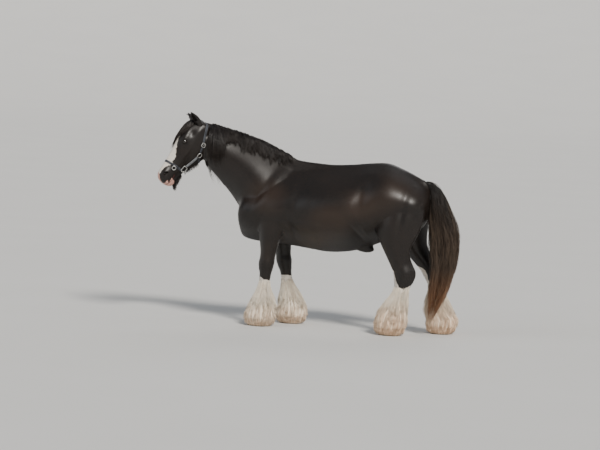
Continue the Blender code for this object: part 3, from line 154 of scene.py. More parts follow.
# Legs: front point (x, z), back point (x, z), half widths, power
FORE = [
    ((-0.160, 1.120), (0.190, 1.100), (0.070, 0.085, 0.075), 2.2),
    ((-0.140, 0.960), (0.170, 0.960), (0.072, 0.088, 0.074), 2.2),
    ((-0.095, 0.860), (0.140, 0.880), (0.070, 0.084, 0.068), 2.2),
    ((-0.076, 0.760), (0.112, 0.775), (0.064, 0.076, 0.062), 2.2),
    ((-0.060, 0.670), (0.092, 0.680), (0.056, 0.066, 0.054), 2.2),
    ((-0.058, 0.610), (0.080, 0.615), (0.054, 0.060, 0.050), 2.2),
    ((-0.064, 0.560), (0.078, 0.565), (0.060, 0.066, 0.056), 2.4),
    ((-0.058, 0.505), (0.068, 0.505), (0.054, 0.058, 0.050), 2.3),
    ((-0.046, 0.450), (0.056, 0.450), (0.044, 0.048, 0.044), 2.2),
    ((-0.048, 0.340), (0.048, 0.340), (0.038, 0.042, 0.038), 2.2),
    ((-0.056, 0.240), (0.044, 0.240), (0.039, 0.043, 0.040), 2.2),
    ((-0.068, 0.190), (0.050, 0.180), (0.046, 0.052, 0.048), 2.2),
    ((-0.078, 0.145), (0.040, 0.130), (0.048, 0.054, 0.048), 2.2),
    ((-0.096, 0.070), (0.056, 0.060), (0.058, 0.066, 0.056), 2.2),
]
HIND = [
    ((-0.050, 1.310), (0.150, 1.310), (0.040, 0.050, 0.040), 2.2),
    ((-0.100, 1.230), (0.205, 1.230), (0.085, 0.100, 0.080), 2.2),
    ((-0.150, 1.080), (0.245, 1.080), (0.112, 0.130, 0.100), 2.2),
    ((-0.168, 0.930), (0.215, 0.920), (0.108, 0.120, 0.090), 2.2),
    ((-0.128, 0.800), (0.160, 0.800), (0.090, 0.098, 0.072), 2.2),
    ((-0.070, 0.690), (0.140, 0.720), (0.068, 0.076, 0.056), 2.2),
    ((-0.022, 0.600), (0.165, 0.645), (0.052, 0.060, 0.040), 2.2),
    ((0.004, 0.545), (0.205, 0.560), (0.054, 0.062, 0.038), 2.2),
    ((0.012, 0.490), (0.192, 0.485), (0.054, 0.062, 0.042), 2.2),
    ((0.020, 0.430), (0.155, 0.420), (0.048, 0.054, 0.044), 2.2),
    ((0.018, 0.340), (0.130, 0.330), (0.040, 0.045, 0.040), 2.2),
    ((0.000, 0.240), (0.112, 0.230), (0.042, 0.046, 0.042), 2.2),
    ((-0.018, 0.195), (0.104, 0.180), (0.050, 0.055, 0.050), 2.2),
    ((-0.036, 0.145), (0.080, 0.125), (0.050, 0.056, 0.050), 2.2),
    ((-0.062, 0.070), (0.084, 0.060), (0.060, 0.066, 0.056), 2.2),
]
HOOF = [
    ((-0.092, CORONET), (0.050, CORONET), (0.056, 0.062, 0.054), 2.2),
    ((-0.104, 0.050), (0.052, 0.050), (0.062, 0.069, 0.058), 2.2),
    ((-0.117, 0.000), (0.054, 0.000), (0.068, 0.075, 0.060), 2.2),
]
HOOF_HIND_STEP = 0.026
# Swellings and hollows of the skin: middle (u, v), reach along and across, lean in degrees and
# height. On the body u, v are x and z; on the head they are its own t and q.
BODY_SWELLS = [
    ((-0.250, 1.230), (0.075, 0.260), 32, 0.016),  # shoulder blade
    ((-0.160, 1.020), (0.150, 0.110), 20, 0.022),  # triceps
    ((-0.490, 1.020), (0.090, 0.110), 10, 0.020),  # point of the shoulder
    ((-0.260, 0.880), (0.110, 0.120), 0, 0.016),  # upper arm
    ((-0.370, 1.150), (0.035, 0.170), 28, -0.010),  # groove ahead of the shoulder
    ((0.000, 1.180), (0.050, 0.180), 15, -0.010),  # hollow behind the shoulder
    ((0.280, 0.960), (0.300, 0.220), 0, 0.014),  # barrel
    ((0.565, 1.180), (0.060, 0.160), 10, -0.014),  # flank
    ((0.600, 1.375), (0.065, 0.060), 0, 0.012),  # point of the hip
    ((0.820, 1.330), (0.200, 0.110), 16, 0.012),  # croup
    ((0.770, 1.060), (0.140, 0.230), -12, 0.018),  # thigh
    ((0.925, 1.060), (0.030, 0.230), 8, -0.010),  # groove behind the thigh
    ((1.020, 1.080), (0.080, 0.220), 10, 0.014),  # buttock
    ((0.640, 0.900), (0.070, 0.110), -30, 0.012),  # fold of the stifle
]
HEAD_SWELLS = [
    ((0.200, 0.018), (0.050, 0.026), 0, 0.012),  # brow over the eye
    ((0.128, -0.010), (0.034, 0.022), 0, -0.009),  # hollow above the eye
    ((0.075, -0.060), (0.050, 0.030), 0, 0.008),  # temple
    ((0.180, -0.170), (0.095, 0.075), 0, 0.012),  # cheek
    ((0.325, -0.075), (0.120, 0.013), 0, 0.009),  # cheek bone
    ((0.370, -0.020), (0.090, 0.026), 0, -0.005),  # side of the nose
    ((0.340, -0.135), (0.070, 0.030), 0, -0.006),  # ahead of the cheek
    ((0.545, -0.020), (0.040, 0.030), 0, 0.009),  # nostril
    ((0.585, -0.060), (0.034, 0.030), 0, 0.005),  # upper lip
    ((0.480, -0.085), (0.030, 0.050), 0, -0.004),  # behind the muzzle
    ((0.590, -0.135), (0.038, 0.030), 0, 0.005),  # chin
]
# Outline of the feather: rows as for legs, from the foot's own place
FORE_BELL = [
    ((-0.052, 0.440), (0.062, 0.440), (0.046, 0.050, 0.046), 2.1),
    ((-0.085, 0.300), (0.110, 0.300), (0.064, 0.072, 0.066), 2.1),
    ((-0.130, 0.180), (0.140, 0.180), (0.100, 0.112, 0.105), 2.1),
    ((-0.162, 0.100), (0.145, 0.100), (0.118, 0.132, 0.125), 2.1),
    ((-0.158, 0.040), (0.130, 0.040), (0.112, 0.126, 0.118), 2.1),
    ((-0.140, 0.006), (0.112, 0.006), (0.098, 0.112, 0.102), 2.1),
]
HIND_BELL = [
    ((-0.015, 0.415), (0.162, 0.415), (0.048, 0.054, 0.046), 2.1),
    ((-0.080, 0.300), (0.160, 0.300), (0.064, 0.072, 0.066), 2.1),
    ((-0.135, 0.180), (0.162, 0.180), (0.100, 0.112, 0.105), 2.1),
    ((-0.148, 0.100), (0.165, 0.100), (0.118, 0.132, 0.125), 2.1),
    ((-0.142, 0.040), (0.145, 0.040), (0.112, 0.126, 0.118), 2.1),
    ((-0.120, 0.006), (0.124, 0.006), (0.098, 0.112, 0.102), 2.1),
]
# Tail: front and back points in the side view, half widths, and how far each row is aside
TAIL = [
    ((1.070, 1.315), (1.085, 1.365), (0.026, 0.030, 0.026), 2.0),
    ((1.095, 1.285), (1.150, 1.345), (0.030, 0.034, 0.030), 2.0),
    ((1.125, 1.215), (1.235, 1.262), (0.034, 0.042, 0.034), 2.0),
    ((1.108, 1.090), (1.308, 1.115), (0.046, 0.058, 0.048), 2.0),
    ((1.110, 0.930), (1.390, 0.950), (0.052, 0.066, 0.054), 2.0),
    ((1.124, 0.760), (1.420, 0.780), (0.050, 0.064, 0.052), 2.0),
    ((1.150, 0.580), (1.390, 0.590), (0.044, 0.056, 0.046), 2.0),
    ((1.150, 0.400), (1.325, 0.390), (0.036, 0.046, 0.038), 2.0),
    ((1.150, 0.240), (1.250, 0.220), (0.026, 0.032, 0.028), 2.0),
    ((1.155, 0.090), (1.180, 0.090), (0.010, 0.012, 0.010), 2.0),
]
TAIL_ASIDE = [0.0, 0.0, 0.0, -0.005, -0.015, -0.028, -0.038, -0.045, -0.050, -0.050]
# Eyes and ears in the head's own frame
EYE = (0.225, -0.004)
EYE_TURN = 22
EAR_ROOT = (0.012, -0.006, 0.058)
EAR_TIPS = {"near": (-0.022, 0.112, 0.084), "far": (-0.040, 0.052, 0.140)}
EAR_ROWS = [
    (-0.30, 0.030, 0.027),
    (0.00, 0.032, 0.028),
    (0.20, 0.031, 0.027),
    (0.38, 0.030, 0.024),
    (0.58, 0.025, 0.019),
    (0.78, 0.016, 0.012),
    (0.93, 0.007, 0.006),
    (1.00, 0.002, 0.002),
]
EAR_STUB = 0.20
# A point this far to the side lies well outside the head
OUTSIDE = 0.3
# Spots of the headcollar in the head's own (t, q)
NOSE_RING = (0.420, -0.146)
CHEEK_RING = (0.240, -0.186)
CROWN_BUCKLE = (0.150, -0.160)
NOSE_BUCKLE = (0.470, -0.062)


def unit(vector):
    vector = np.asarray(vector, float)
    return vector / np.linalg.norm(vector)


def solid(name, shape, place=None):
    """A mesh object from points and faces, linked in the scene or in the given collection."""
    points, faces = shape
    mesh = bpy.data.meshes.new(name)
    mesh.from_pydata([tuple(p) for p in points], [], [tuple(f) for f in faces])
    mesh.update()
    obj = bpy.data.objects.new(name, mesh)
    (place or bpy.context.scene.collection).objects.link(obj)
    return obj


def through(rows, count):
    """Rows of numbers resampled by a smooth curve through them all."""
    rows = np.asarray(rows, float)
    padded = np.vstack([2 * rows[0] - rows[1], rows, 2 * rows[-1] - rows[-2]])
    steps = np.linspace(0, len(rows) - 1, count)
    at = np.minimum(steps.astype(int), len(rows) - 2)
    u = (steps - at)[:, None]
    a, b, c, d = (padded[at + k] for k in range(4))
    return 0.5 * (2 * b + (c - a) * u + (2 * a - 5 * b + 4 * c - d) * u**2 + (3 * b - a - 3 * c + d) * u**3)


def section(top, bottom, middle, widths, power, sides):
    """One closed ring round the line from top to bottom, widening sideways along Y."""
    ring = []
    high, mid, low = widths
    centre, half = (top + bottom) / 2, (top - bottom) / 2
    for k in range(sides):
        angle = 2 * math.pi * k / sides
        along = math.copysign(abs(math.cos(angle)) ** (2 / power), math.cos(angle))
        across = math.copysign(abs(math.sin(angle)) ** (2 / power), math.sin(angle))
        side = mid + (high - low) / 1.2 * along + (high + low - 2 * mid) / 0.72 * along**2
        x, z = centre + half * along
        ring.append((x, middle + across * max(side, 0.25 * mid), z))
    return ring


def loft(rings, closed=False):
    """Points and faces of a tube through rings: closed on itself, or with a fan over each end."""
    sides = len(rings[0])
    points = [p for ring in rings for p in ring]
    faces = []
    for r in range(len(rings) if closed else len(rings) - 1):
        for k in range(sides):
            a, b = r * sides + k, r * sides + (k + 1) % sides
            step = sides if r < len(rings) - 1 else -r * sides
            faces += [(a, b, b + step), (a, b + step, a + step)]
    if closed:
        return points, faces
    for ring, at, turned in ((rings[0], 0, True), (rings[-1], (len(rings) - 1) * sides, False)):
        points.append(np.mean(ring, axis=0))
        hub = len(points) - 1
        for k in range(sides):
            edge = (at + k, at + (k + 1) % sides)
            faces.append((edge[1], edge[0], hub) if turned else (*edge, hub))
    return points, faces


def facing_out(points, faces):
    """The same faces, turned round if the closed surface is inside out."""
    points = np.asarray(points, float)
    volume = 0.0
    for face in faces:
        for k in range(1, len(face) - 1):
            volume += np.linalg.det(points[[face[0], face[k], face[k + 1]]])
    return points, faces if volume > 0 else [tuple(reversed(f)) for f in faces]


def station_loft(rows, count, sides, middles=None, place=lambda p: p):
    """A loft through station rows, whose side positions may vary row by row."""
    middles = middles or [0.0] * len(rows)
    flat = [(*place(t), *place(b), *w, n, m) for (t, b, w, n), m in zip(rows, middles)]
    rings = []
    for row in through(flat, count):
        top, bottom = row[0:2], row[2:4]
        rings.append(section(top, bottom, row[8], row[4:7], row[7], sides))
    return facing_out(*loft(rings))


def ball(centre, axes, steps=(24, 14)):
    """A ball stretched along three given axes, whose lengths are its radii."""
    centre = np.asarray(centre, float)
    axes = np.asarray(axes, float)
    rings = []
    for j in range(1, steps[1]):
        polar = math.pi * j / steps[1]
        ring = []
        for k in range(steps[0]):
            angle = 2 * math.pi * k / steps[0]
            local = (math.sin(polar) * math.cos(angle), math.sin(polar) * math.sin(angle), math.cos(polar))
            ring.append(centre + np.dot(local, axes))
        rings.append(ring)
    return facing_out(*loft(rings))


def ellipsoid(centre, radii, lean=0.0):
    """A ball stretched along x, y and z, and leaned in the side plane by degrees."""
    turn = math.radians(lean)
    axes = (
        (radii[0] * math.cos(turn), 0, -radii[0] * math.sin(turn)),
        (0, radii[1], 0),
        (radii[2] * math.sin(turn), 0, radii[2] * math.cos(turn)),
    )
    return ball(centre, axes)


def head_point(t, q):
    """Side-plane point of the head's own (t, q)."""
    return (
        POLL[0] + t * HEAD_LINE[0] + q * HEAD_LINE[1],
        POLL[1] + t * HEAD_LINE[1] - q * HEAD_LINE[0],
    )


def head_spot(t, q, y):
    x, z = head_point(t, q)
    return (x, y, z)


def bent(points):
    """Points of the neck and head, turned towards the near side along the neck."""
    points = np.array(points, float)
    reach = np.linspace(0, TURNS[-1][0], 281)
    angle = np.radians(np.interp(reach, [r[0] for r in TURNS], [r[1] for r in TURNS]))
    middle = (angle[1:] + angle[:-1]) / 2
    ahead = np.concatenate([[0], np.cumsum(np.cos(middle))]) * reach[1]
    aside = np.concatenate([[0], np.cumsum(np.sin(middle))]) * reach[1]
    along = BEND_START - points[:, 0]
    turn = np.interp(along, reach, angle)
    side = points[:, 1].copy()
    x = BEND_START - np.interp(along, reach, ahead) - side * np.sin(turn)
    y = -np.interp(along, reach, aside) + side * np.cos(turn)
    turned = along > 0
    points[turned, 0] = x[turned]
    points[turned, 1] = y[turned]
    return points


def head_at(t, q, y):
    """A spot of the head's own frame, where the neck's turn carries it."""
    return bent([head_spot(t, q, y)])[0]


def met(tree, start, end):
    """Where the line from start to end first meets the surface, and the way out of it there."""
    hit, normal = tree.ray_cast(Vector(start), Vector(unit(end - start)))[:2]
    return np.array(hit), np.array(normal)


def nearest(tree, point):
    """The surface's nearest spot to a point, and the way out of it there."""
    return [np.array(v) for v in tree.find_nearest(Vector(point))[:2]]


def tree_of(points, faces):
    return BVHTree.FromPolygons([tuple(p) for p in points], faces)


def tree_from(obj):
    mesh = obj.data
    return tree_of([v.co for v in mesh.vertices], [tuple(f.vertices) for f in mesh.polygons])


def normals_of(points, faces):
    mesh = bpy.data.meshes.new("normals")
    mesh.from_pydata([tuple(p) for p in points], [], [tuple(f) for f in faces])
    found = np.empty(len(mesh.vertices) * 3)
    mesh.vertices.foreach_get("normal", found)
    bpy.data.meshes.remove(mesh)
    return found.reshape(-1, 3)


def swollen(points, normals, flat, swells):
    """Points moved along their normals by swells laid out on flat (u, v), on the two sides only."""
    points = np.array(points, float)
    lift = np.zeros(len(points))
    for (u, v), (along, across), lean, height in swells:
        turn = math.radians(lean)
        du, dv = flat[:, 0] - u, flat[:, 1] - v
        a = du * math.cos(turn) - dv * math.sin(turn)
        b = du * math.sin(turn) + dv * math.cos(turn)
        lift += height * np.exp(-((a / along) ** 2) - (b / across) ** 2)
    sides = np.clip(np.abs(normals[:, 1]) * 1.6, 0, 1) ** 1.5
    return points + normals * (lift * sides)[:, None]


def head_shape():
    """The head's loft with its swells, in the head's own frame before the neck's turn."""
    points, faces = station_loft(HEAD, 110, 64, place=lambda p: head_point(*p))
    rel = points[:, [0, 2]] - np.array(POLL)
    flat = np.stack([rel @ np.array(HEAD_LINE), rel @ np.array((HEAD_LINE[1], -HEAD_LINE[0]))], axis=1)
    return swollen(points, normals_of(points, faces), flat, HEAD_SWELLS), faces


def leg_rows(rows, place, shifts):
    """A leg's station rows at its foot's place, with each row moved along by its own shift."""
    moved = []
    for k, ((tx, tz), (bx, bz), widths, power) in enumerate(rows):
        step = place + shifts[k]
        moved.append(((tx + step, tz), (bx + step, bz), widths, power))
    return moved


def leg_sway(name, z):
    """How far a leg's section at a height is carried along X and where its middle is in Y."""
    x, y = FEET[name]
    fore = name.endswith("fore")
    up = max(0.0, (z - PASTERN) / ((FORE_TOP if fore else HIND_TOP) - PASTERN))
    hang = min(1.0, up / 0.75) ** 0.9
    lean = 0.0 if fore else THIGH_LEAN * np.clip((up - 0.72) / 0.28, 0, 1.3)
    return ((ELBOW_X if fore else HIP_X) - x) * hang, y * (1 - 0.10 * hang) - math.copysign(lean, y)


def leg_shape(name, rows, count=40, sides=20):
    """A leg's loft, from where it hangs in the body to its foot's place."""
    sways = [leg_sway(name, top[1]) for top, *_ in rows]
    moved = leg_rows(rows, FEET[name][0], [s[0] for s in sways])
    return station_loft(moved, count, sides, [s[1] for s in sways])


def as_one(shapes):
    """Points and faces of several closed shapes together."""
    points, faces = [], []
    for some, theirs in shapes:
        base = len(points)
        points.extend(some)
        faces.extend([tuple(i + base for i in f) for f in theirs])
    return np.array(points), faces


def joined(name, pieces):
    """One mesh object holding several closed shapes."""
    return solid(name, as_one(pieces))


def applied(obj):
    """Makes the object's mesh what its modifiers give, and removes them."""
    graph = bpy.context.evaluated_depsgraph_get()
    mesh = bpy.data.meshes.new_from_object(obj.evaluated_get(graph))
    obj.modifiers.clear()
    obj.data = mesh
    return obj


def largest(obj):
    """Keeps only the object's largest closed surface."""
    mesh = obj.data
    parent = list(range(len(mesh.vertices)))

    def root(i):
        while parent[i] != i:
            parent[i] = parent[parent[i]]
            i = parent[i]
        return i

    for edge in mesh.edges:
        a, b = root(edge.vertices[0]), root(edge.vertices[1])
        if a != b:
            parent[a] = b
    area = {}
    for face in mesh.polygons:
        key = root(face.vertices[0])
        area[key] = area.get(key, 0.0) + face.area
    keep = max(area, key=area.get)
    if len(area) > 1:
        shell = bmesh.new()
        shell.from_mesh(mesh)
        shell.verts.ensure_lookup_table()
        lost = [v for v in shell.verts if root(v.index) != keep]
        bmesh.ops.delete(shell, geom=lost, context="VERTS")
        shell.to_mesh(mesh)
        shell.free()
    return obj


def combined(obj, other, operation):
    """The object after a Boolean with another object or a collection, which is then removed."""
    change = obj.modifiers.new("Boolean", "BOOLEAN")
    change.operation = operation
    change.solver = "MANIFOLD"
    if isinstance(other, bpy.types.Collection):
        change.operand_type = "COLLECTION"
        change.collection = other
    else:
        change.object = other
    applied(obj)
    if isinstance(other, bpy.types.Collection):
        for piece in list(other.objects):
            bpy.data.objects.remove(piece)
        bpy.data.collections.remove(other)
    else:
        bpy.data.objects.remove(other)
    return largest(obj)


def cut(obj, shape):
    return combined(obj, solid("cutter", shape), "DIFFERENCE")


def fused(obj, shapes):
    """The object with closed shapes grown onto it by one union."""
    group = bpy.data.collections.new("pieces")
    bpy.context.scene.collection.children.link(group)
    for shape in shapes:
        solid("piece", shape, group)
    return combined(obj, group, "UNION")


def bell_spot(name, z, angle, scale):
    """A spot on the feather's outline round a leg: its height, turn from the back, and reach."""
    rows = FORE_BELL if name.endswith("fore") else HIND_BELL
    heights = [r[0][1] for r in rows][::-1]
    front, back, side = (
        np.interp(z, heights, [v for v in values][::-1])
        for values in ([r[0][0] for r in rows], [r[1][0] for r in rows], [r[2][1] for r in rows])
    )
    sway, middle = leg_sway(name, z)
    x = FEET[name][0] + sway + (front + back) / 2
    reach = (back - front) / 2 * scale
    return np.array((x + reach * math.cos(angle), middle + side * math.sin(angle) * scale, z))


def side_sign(name):
    return -1 if name.startswith("near") else 1


def oval(centre, wide, deep, sides):
    ring = []
    for k in range(sides):
        angle = 2 * math.pi * k / sides
        ring.append(centre + wide * math.cos(angle) + deep * math.sin(angle))
    return ring


def eye_place(tree, name):
    """Middle of the eye, and the axes outward, along the lids and across them."""
    side = side_sign(name)
    inner = head_at(*EYE, 0.0)
    outer = head_at(*EYE, OUTSIDE * side)
    out = unit(outer - inner)
    down = unit(head_at(EYE[0] + 0.1, EYE[1], 0.0) - inner)
    ahead = unit(head_at(EYE[0], EYE[1] + 0.1, 0.0) - inner)
    look = unit(out + ahead * 0.22 + down * 0.06)
    turn = math.radians(EYE_TURN)
    along = down * math.cos(turn) + ahead * math.sin(turn)
    along = unit(along - look * np.dot(along, look))
    hit = met(tree, outer, inner)[0]
    return hit - out * (EYE_RADIUS - 0.005), look, along, np.cross(look, along)


def side_samples(path, side, count):
    """Samples of a strap down the side of the head through (t, q) points."""
    rows = through(path, count)
    samples = []
    for k, (t, q) in enumerate(rows):
        ahead = rows[min(k + 1, count - 1)] - rows[max(k - 1, 0)]
        low, high = head_at(t + ahead[1], q - ahead[0], 0.0), head_at(t - ahead[1], q + ahead[0], 0.0)
        across = unit(high - low)
        samples.append((head_at(t, q, OUTSIDE * side), head_at(t, q, 0.0), across))
    return samples


def loop_samples(middle, reach, low, high, count, sway=(0.0, 0.0)):
    """Samples of a strap round the head in the plane of Y and a reach in (t, q).

    Angles in degrees run from low to high, with 0 along the reach and 90 on the far side.
    """
    samples = []
    for k in range(count):
        angle = math.radians(low + (high - low) * k / (count if high - low >= 360 else count - 1))
        t = middle[0] + reach[0] * math.cos(angle) * OUTSIDE + sway[0] * math.cos(angle)
        q = middle[1] + reach[1] * math.cos(angle) * OUTSIDE + sway[1] * math.cos(angle)
        centre = np.array(head_spot(middle[0], middle[1], 0.0))
        out = np.array(head_spot(t, q, OUTSIDE * math.sin(angle)))
        ahead = np.array(head_spot(middle[0] + reach[0], middle[1] + reach[1], 0)) - centre
        edge = np.cross(unit(ahead), (0, 1, 0))
        start, end, tilt = bent([out, centre, centre + edge * 0.01])
        samples.append((start, end, unit(tilt - end)))
    return samples


# Camera: degrees round from the near side towards the tail, up, and its own roll
CAMERA_AZIMUTH = 12.0
CAMERA_ELEVATION = 4.5
CAMERA_ROLL = 2.8
CAMERA_DISTANCE = 24.0
CAMERA_TARGET = (-0.0975, 0.0, 0.896)
PIXELS_PER_METRE = 113.0
PICTURE_WIDTH = 600.0
SENSOR = 36.0

# The render's own sizes
SKIN_VOXEL = 0.0042
SKIN_SMOOTH = 8
BODY_SMOOTH = 60
BODY_TRIANGLES = 82000
FUR_DEPTH = 0.0012
MARK_SPAN = 0.040
# Each eye's middle and its axes outward, along the lids and across them, once it is placed
EYES = {}
# Patches where the coat is browner and lighter, partly its own sun-bleached brown and partly painted sheen:
# middle (x, z) and reach
BROWN_AND_SHEEN = (
    ((-0.270, 1.100), 0.19),
    ((0.300, 0.980), 0.20),
    ((0.560, 1.130), 0.13),
    ((0.820, 1.250), 0.16),
)
# Upper edge of a hind leg's white, from front to back of the leg
HOCK_WHITE = ((-0.02, 0.01, 0.035, 0.070, 0.110, 0.160), (0.585, 0.560, 0.490, 0.425, 0.410, 0.445))
# Blaze down the face: t, half width and middle
BLAZE = (
    (0.120, 0.000, 0.010),
    (0.160, 0.008, 0.010),
    (0.220, 0.020, 0.006),
    (0.300, 0.036, 0.004),
    (0.380, 0.048, 0.004),
    (0.450, 0.048, 0.005),
    (0.520, 0.038, 0.006),
    (0.580, 0.028, 0.004),
    (0.620, 0.020, 0.002),
    (0.640, 0.010, 0.000),
)
# The sheath under the flank: its middle and half sizes
SHEATH = ((0.545, 0, 0.740), (0.105, 0.046, 0.046))
# The eye's opening: half its length, and its height over and under the middle
LIDS = (0.0195, 0.0138, 0.0112)
# Where the nostril is looked for, and the line of the mouth, in the head's own frame
NOSTRIL = (0.548, -0.014)
MOUTH = ((0.512, 0.560, 0.600, 0.660), (-0.108, -0.116, -0.108, -0.088))
# Cuts of the mouth's slit: t, q and height
MOUTH_CUTS = (
    (0.512, -0.108, 0.0006),
    (0.535, -0.114, 0.0016),
    (0.560, -0.116, 0.0026),
    (0.600, -0.108, 0.0036),
    (0.660, -0.088, 0.0050),
)
# Share of the unwrap that one hair takes, and how far hair stays off the floor
PATCH = 0.003
FLOOR_CLEAR = 0.002
COAT_TUFTS = 14500
FORELOCK_TUFTS = 95
BEARD_TUFTS = 150
BELL_TUFTS = 490
BELL_SIDES = 120
TAIL_TUFTS = 480
TAIL_STEPS = 200
# How much of the feather's and the tail's depth a tuft keeps on its way
BELL_SPREAD = (-0.08, 0.22, 0.48, 0.72, 0.89, 0.98, 0.99)
TAIL_SPREAD = (0.25, 0.62, 0.84, 0.93, 0.97, 0.95, 0.85, 0.62)
TAIL_LIFT = 0.006
# The mane's rows of tufts: piece, count, x, place off the crest, length, fade of the length
# along x, side, how far they lie backwards, steps, lift off the skin, fall and hold to it
WHOLE = ((-1.0, 0.0), (1.0, 1.0))
MANE_PARTS = (
    ("near", 250, (-0.865, -0.145), (-0.030, 0.006), (0.115, 0.165), ((-0.30, -0.15), (1.0, 0.55)), -1,
     (0.05, 0.45), 4, (0.003, 0.014), 1.1, 0.8),
    ("far", 290, (-0.865, -0.145), (-0.010, 0.034), (0.26, 0.38), ((-0.32, -0.15), (1.0, 0.45)), 1,
     (-0.05, 0.30), 6, (0.003, 0.016), 1.4, 0.7),
    ("wisps", 30, (-0.868, -0.790), (-0.034, -0.010), (0.22, 0.44), WHOLE, -1,
     (-0.12, 0.10), 6, (0.012, 0.026), 2.2, 0.4),
    ("wisps", 30, (-0.868, -0.770), (0.010, 0.034), (0.46, 0.70), WHOLE, 1,
     (-0.20, 0.02), 6, (0.014, 0.030), 2.2, 0.3),
    ("wisps", 75, (-0.872, -0.740), (-0.036, -0.006), (0.26, 0.50), ((-0.86, -0.74), (1.0, 0.62)), -1,
     (-0.22, 0.10), 6, (0.004, 0.020), 2.0, 0.75),
)
SHORTEST_MANE = 0.05
# Strands of each part: how many to a tuft, spread at root and tip, wave, points and width
MANE_STRANDS = {
    "near": (14, 0.014, 0.006, 0.007, 6, 0.0027),
    "far": (15, 0.016, 0.007, 0.008, 7, 0.0030),
    "wisps": (14, 0.012, 0.005, 0.010, 8, 0.0024),
}
# Hair of the chin and of the jaw: t, half width, length along t and its spread, where it
# starts, the way it leaves, lift and fall
BEARD_PARTS = (
    ((0.475, 0.600), 0.026, ((0.475, 0.53, 0.57, 0.60), (0.035, 0.060, 0.085, 0.045)), (0.6, 1.1), -0.20,
     (0.25, 0.05, -1), 0.004, 0.6),
    ((0.200, 0.475), 0.024, ((0.0, 1.0), (1.0, 1.0)), (0.012, 0.040), -0.30,
     (0.30, 0.05, -0.9), 0.003, 0.5),
)
# A strap's edge, round it once: place across it and height, and how much the corners give
BAND = ((0, 0.2), (0, 0.8), (0, 1.0), (1, 1.08), (2, 1.0), (2, 0.8), (2, 0.2), (2, 0.0), (1, 0.0), (0, 0.0))
BAND_ACROSS = (0.0, 0.0, 0.04, 0.5, 0.96, 1.0, 1.0, 0.96, 0.5, 0.04)
BAND_CORNER = 0.0012
CHEEK_PATH = ((0.400, -0.151), (0.330, -0.172), (0.263, -0.1835))
JOWL_PATH = ((0.220, -0.180), (0.196, -0.173), (0.170, -0.166))
# Rings on both sides: place, size, wire, how square, height over the skin, and whether barred
RINGS = {
    "nose_ring": (NOSE_RING, 0.060, 0.008, 6, 0.0135, False),
    "cheek_ring": (CHEEK_RING, 0.048, 0.006, 2, 0.0112, False),
    "crown_buckle": (CROWN_BUCKLE, 0.042, 0.006, 4, 0.0117, True),
}
RING_TURNS = 48
# The web's ribs and stitches, in metres along a strap
RIB = 0.0022
STITCH = 0.0052
FLOOR_RINGS = 40
FLOOR_SIDES = 96
FLOOR_FLAT = 40.0
FLOOR_REACH = 95.0
FLOOR_RISE = 22.0
WORLD_LIGHT = 0.30
# Lights: the way to each, its width in degrees, strength and colour
SUNS = (
    ("key", (0.50, -0.62, 0.72), 14, 3.5, (1.0, 0.955, 0.89)),
    ("fill", (-0.75, -0.55, 0.45), 40, 0.45, (0.90, 0.95, 1.0)),
    ("back", (0.10, 0.80, 0.60), 30, 0.45, (1.0, 1.0, 1.0)),
)

# Folds round an eye: height over its middle, half length, half thickness and size
LID_FOLDS = (
    (0.0255, 0.026, 0.0024, -0.0020),
    (0.0300, 0.030, 0.0034, 0.0024),
    (0.0365, 0.028, 0.0030, -0.0012),
    (0.0420, 0.034, 0.0050, 0.0028),
    (-0.0235, 0.022, 0.0022, -0.0014),
    (-0.0275, 0.024, 0.0030, 0.0012),
    (-0.0335, 0.022, 0.0030, -0.0010),
)

# Where the skin is smoothed: under the neck, where the neck runs into the shoulder, and at the
# points of the shoulders, all as x, off the middle and z
CHEST = ((-0.615, 0.0, 1.125), (-0.600, 0.08, 1.11))
SHOULDER = (
    (-0.150, 0.12, 1.425),
    (-0.230, 0.16, 1.375),
    (-0.320, 0.19, 1.310),
    (-0.400, 0.20, 1.240),
    (-0.480, 0.19, 1.190),
    (-0.550, 0.15, 1.150),
)
BREAST = ((-0.55, 0.17, 1.06), (-0.50, 0.22, 1.10))

# Finer folds of the body's skin, laid out as the swellings are
FOLDS = [
    ((-0.330, 0.960), (0.014, 0.110), 26, -0.004),
    ((-0.085, 0.950), (0.034, 0.130), -16, -0.009),
    ((-0.175, 0.790), (0.020, 0.060), 14, 0.004),
    ((0.505, 0.900), (0.020, 0.140), -36, -0.006),
    ((0.560, 0.960), (0.014, 0.120), -28, 0.004),
    ((0.700, 1.160), (0.060, 0.150), -18, -0.0015),
    ((0.880, 1.100), (0.070, 0.160), -6, -0.0015),
    ((0.120, 1.060), (0.018, 0.150), 8, -0.001),
    ((0.200, 1.040), (0.018, 0.160), 8, -0.001),
    ((0.280, 1.020), (0.018, 0.160), 8, -0.001),
    ((0.360, 1.010), (0.018, 0.160), 6, -0.001),
    ((0.440, 1.020), (0.018, 0.140), 4, -0.001),
]


def coords(obj, what="co"):
    """The vertices' places, or with "normal" the ways they face."""
    found = np.empty(len(obj.data.vertices) * 3)
    obj.data.vertices.foreach_get(what, found)
    return found.reshape(-1, 3)


def corners_of(obj):
    """The vertex at each corner of each face."""
    found = np.empty(len(obj.data.loops), np.int32)
    obj.data.loops.foreach_get("vertex_index", found)
    return found


def set_uv(obj, uv):
    layer = obj.data.uv_layers.new(name="OFBake")
    layer.data.foreach_set("uv", np.asarray(uv, np.float32).ravel())


def set_coords(obj, points):
    obj.data.vertices.foreach_set("co", np.asarray(points, float).ravel())
    obj.data.update()


def weigh(obj, name, chosen):
    """A vertex group of the chosen vertices."""
    group = obj.vertex_groups.new(name=name)
    group.add(np.flatnonzero(chosen).tolist(), 1.0, "REPLACE")


def smoothed(obj, rounds, group=""):
    smooth = obj.modifiers.new("Smooth", "SMOOTH")
    smooth.factor = 0.5
    smooth.iterations = rounds
    smooth.vertex_group = group
    return applied(obj)


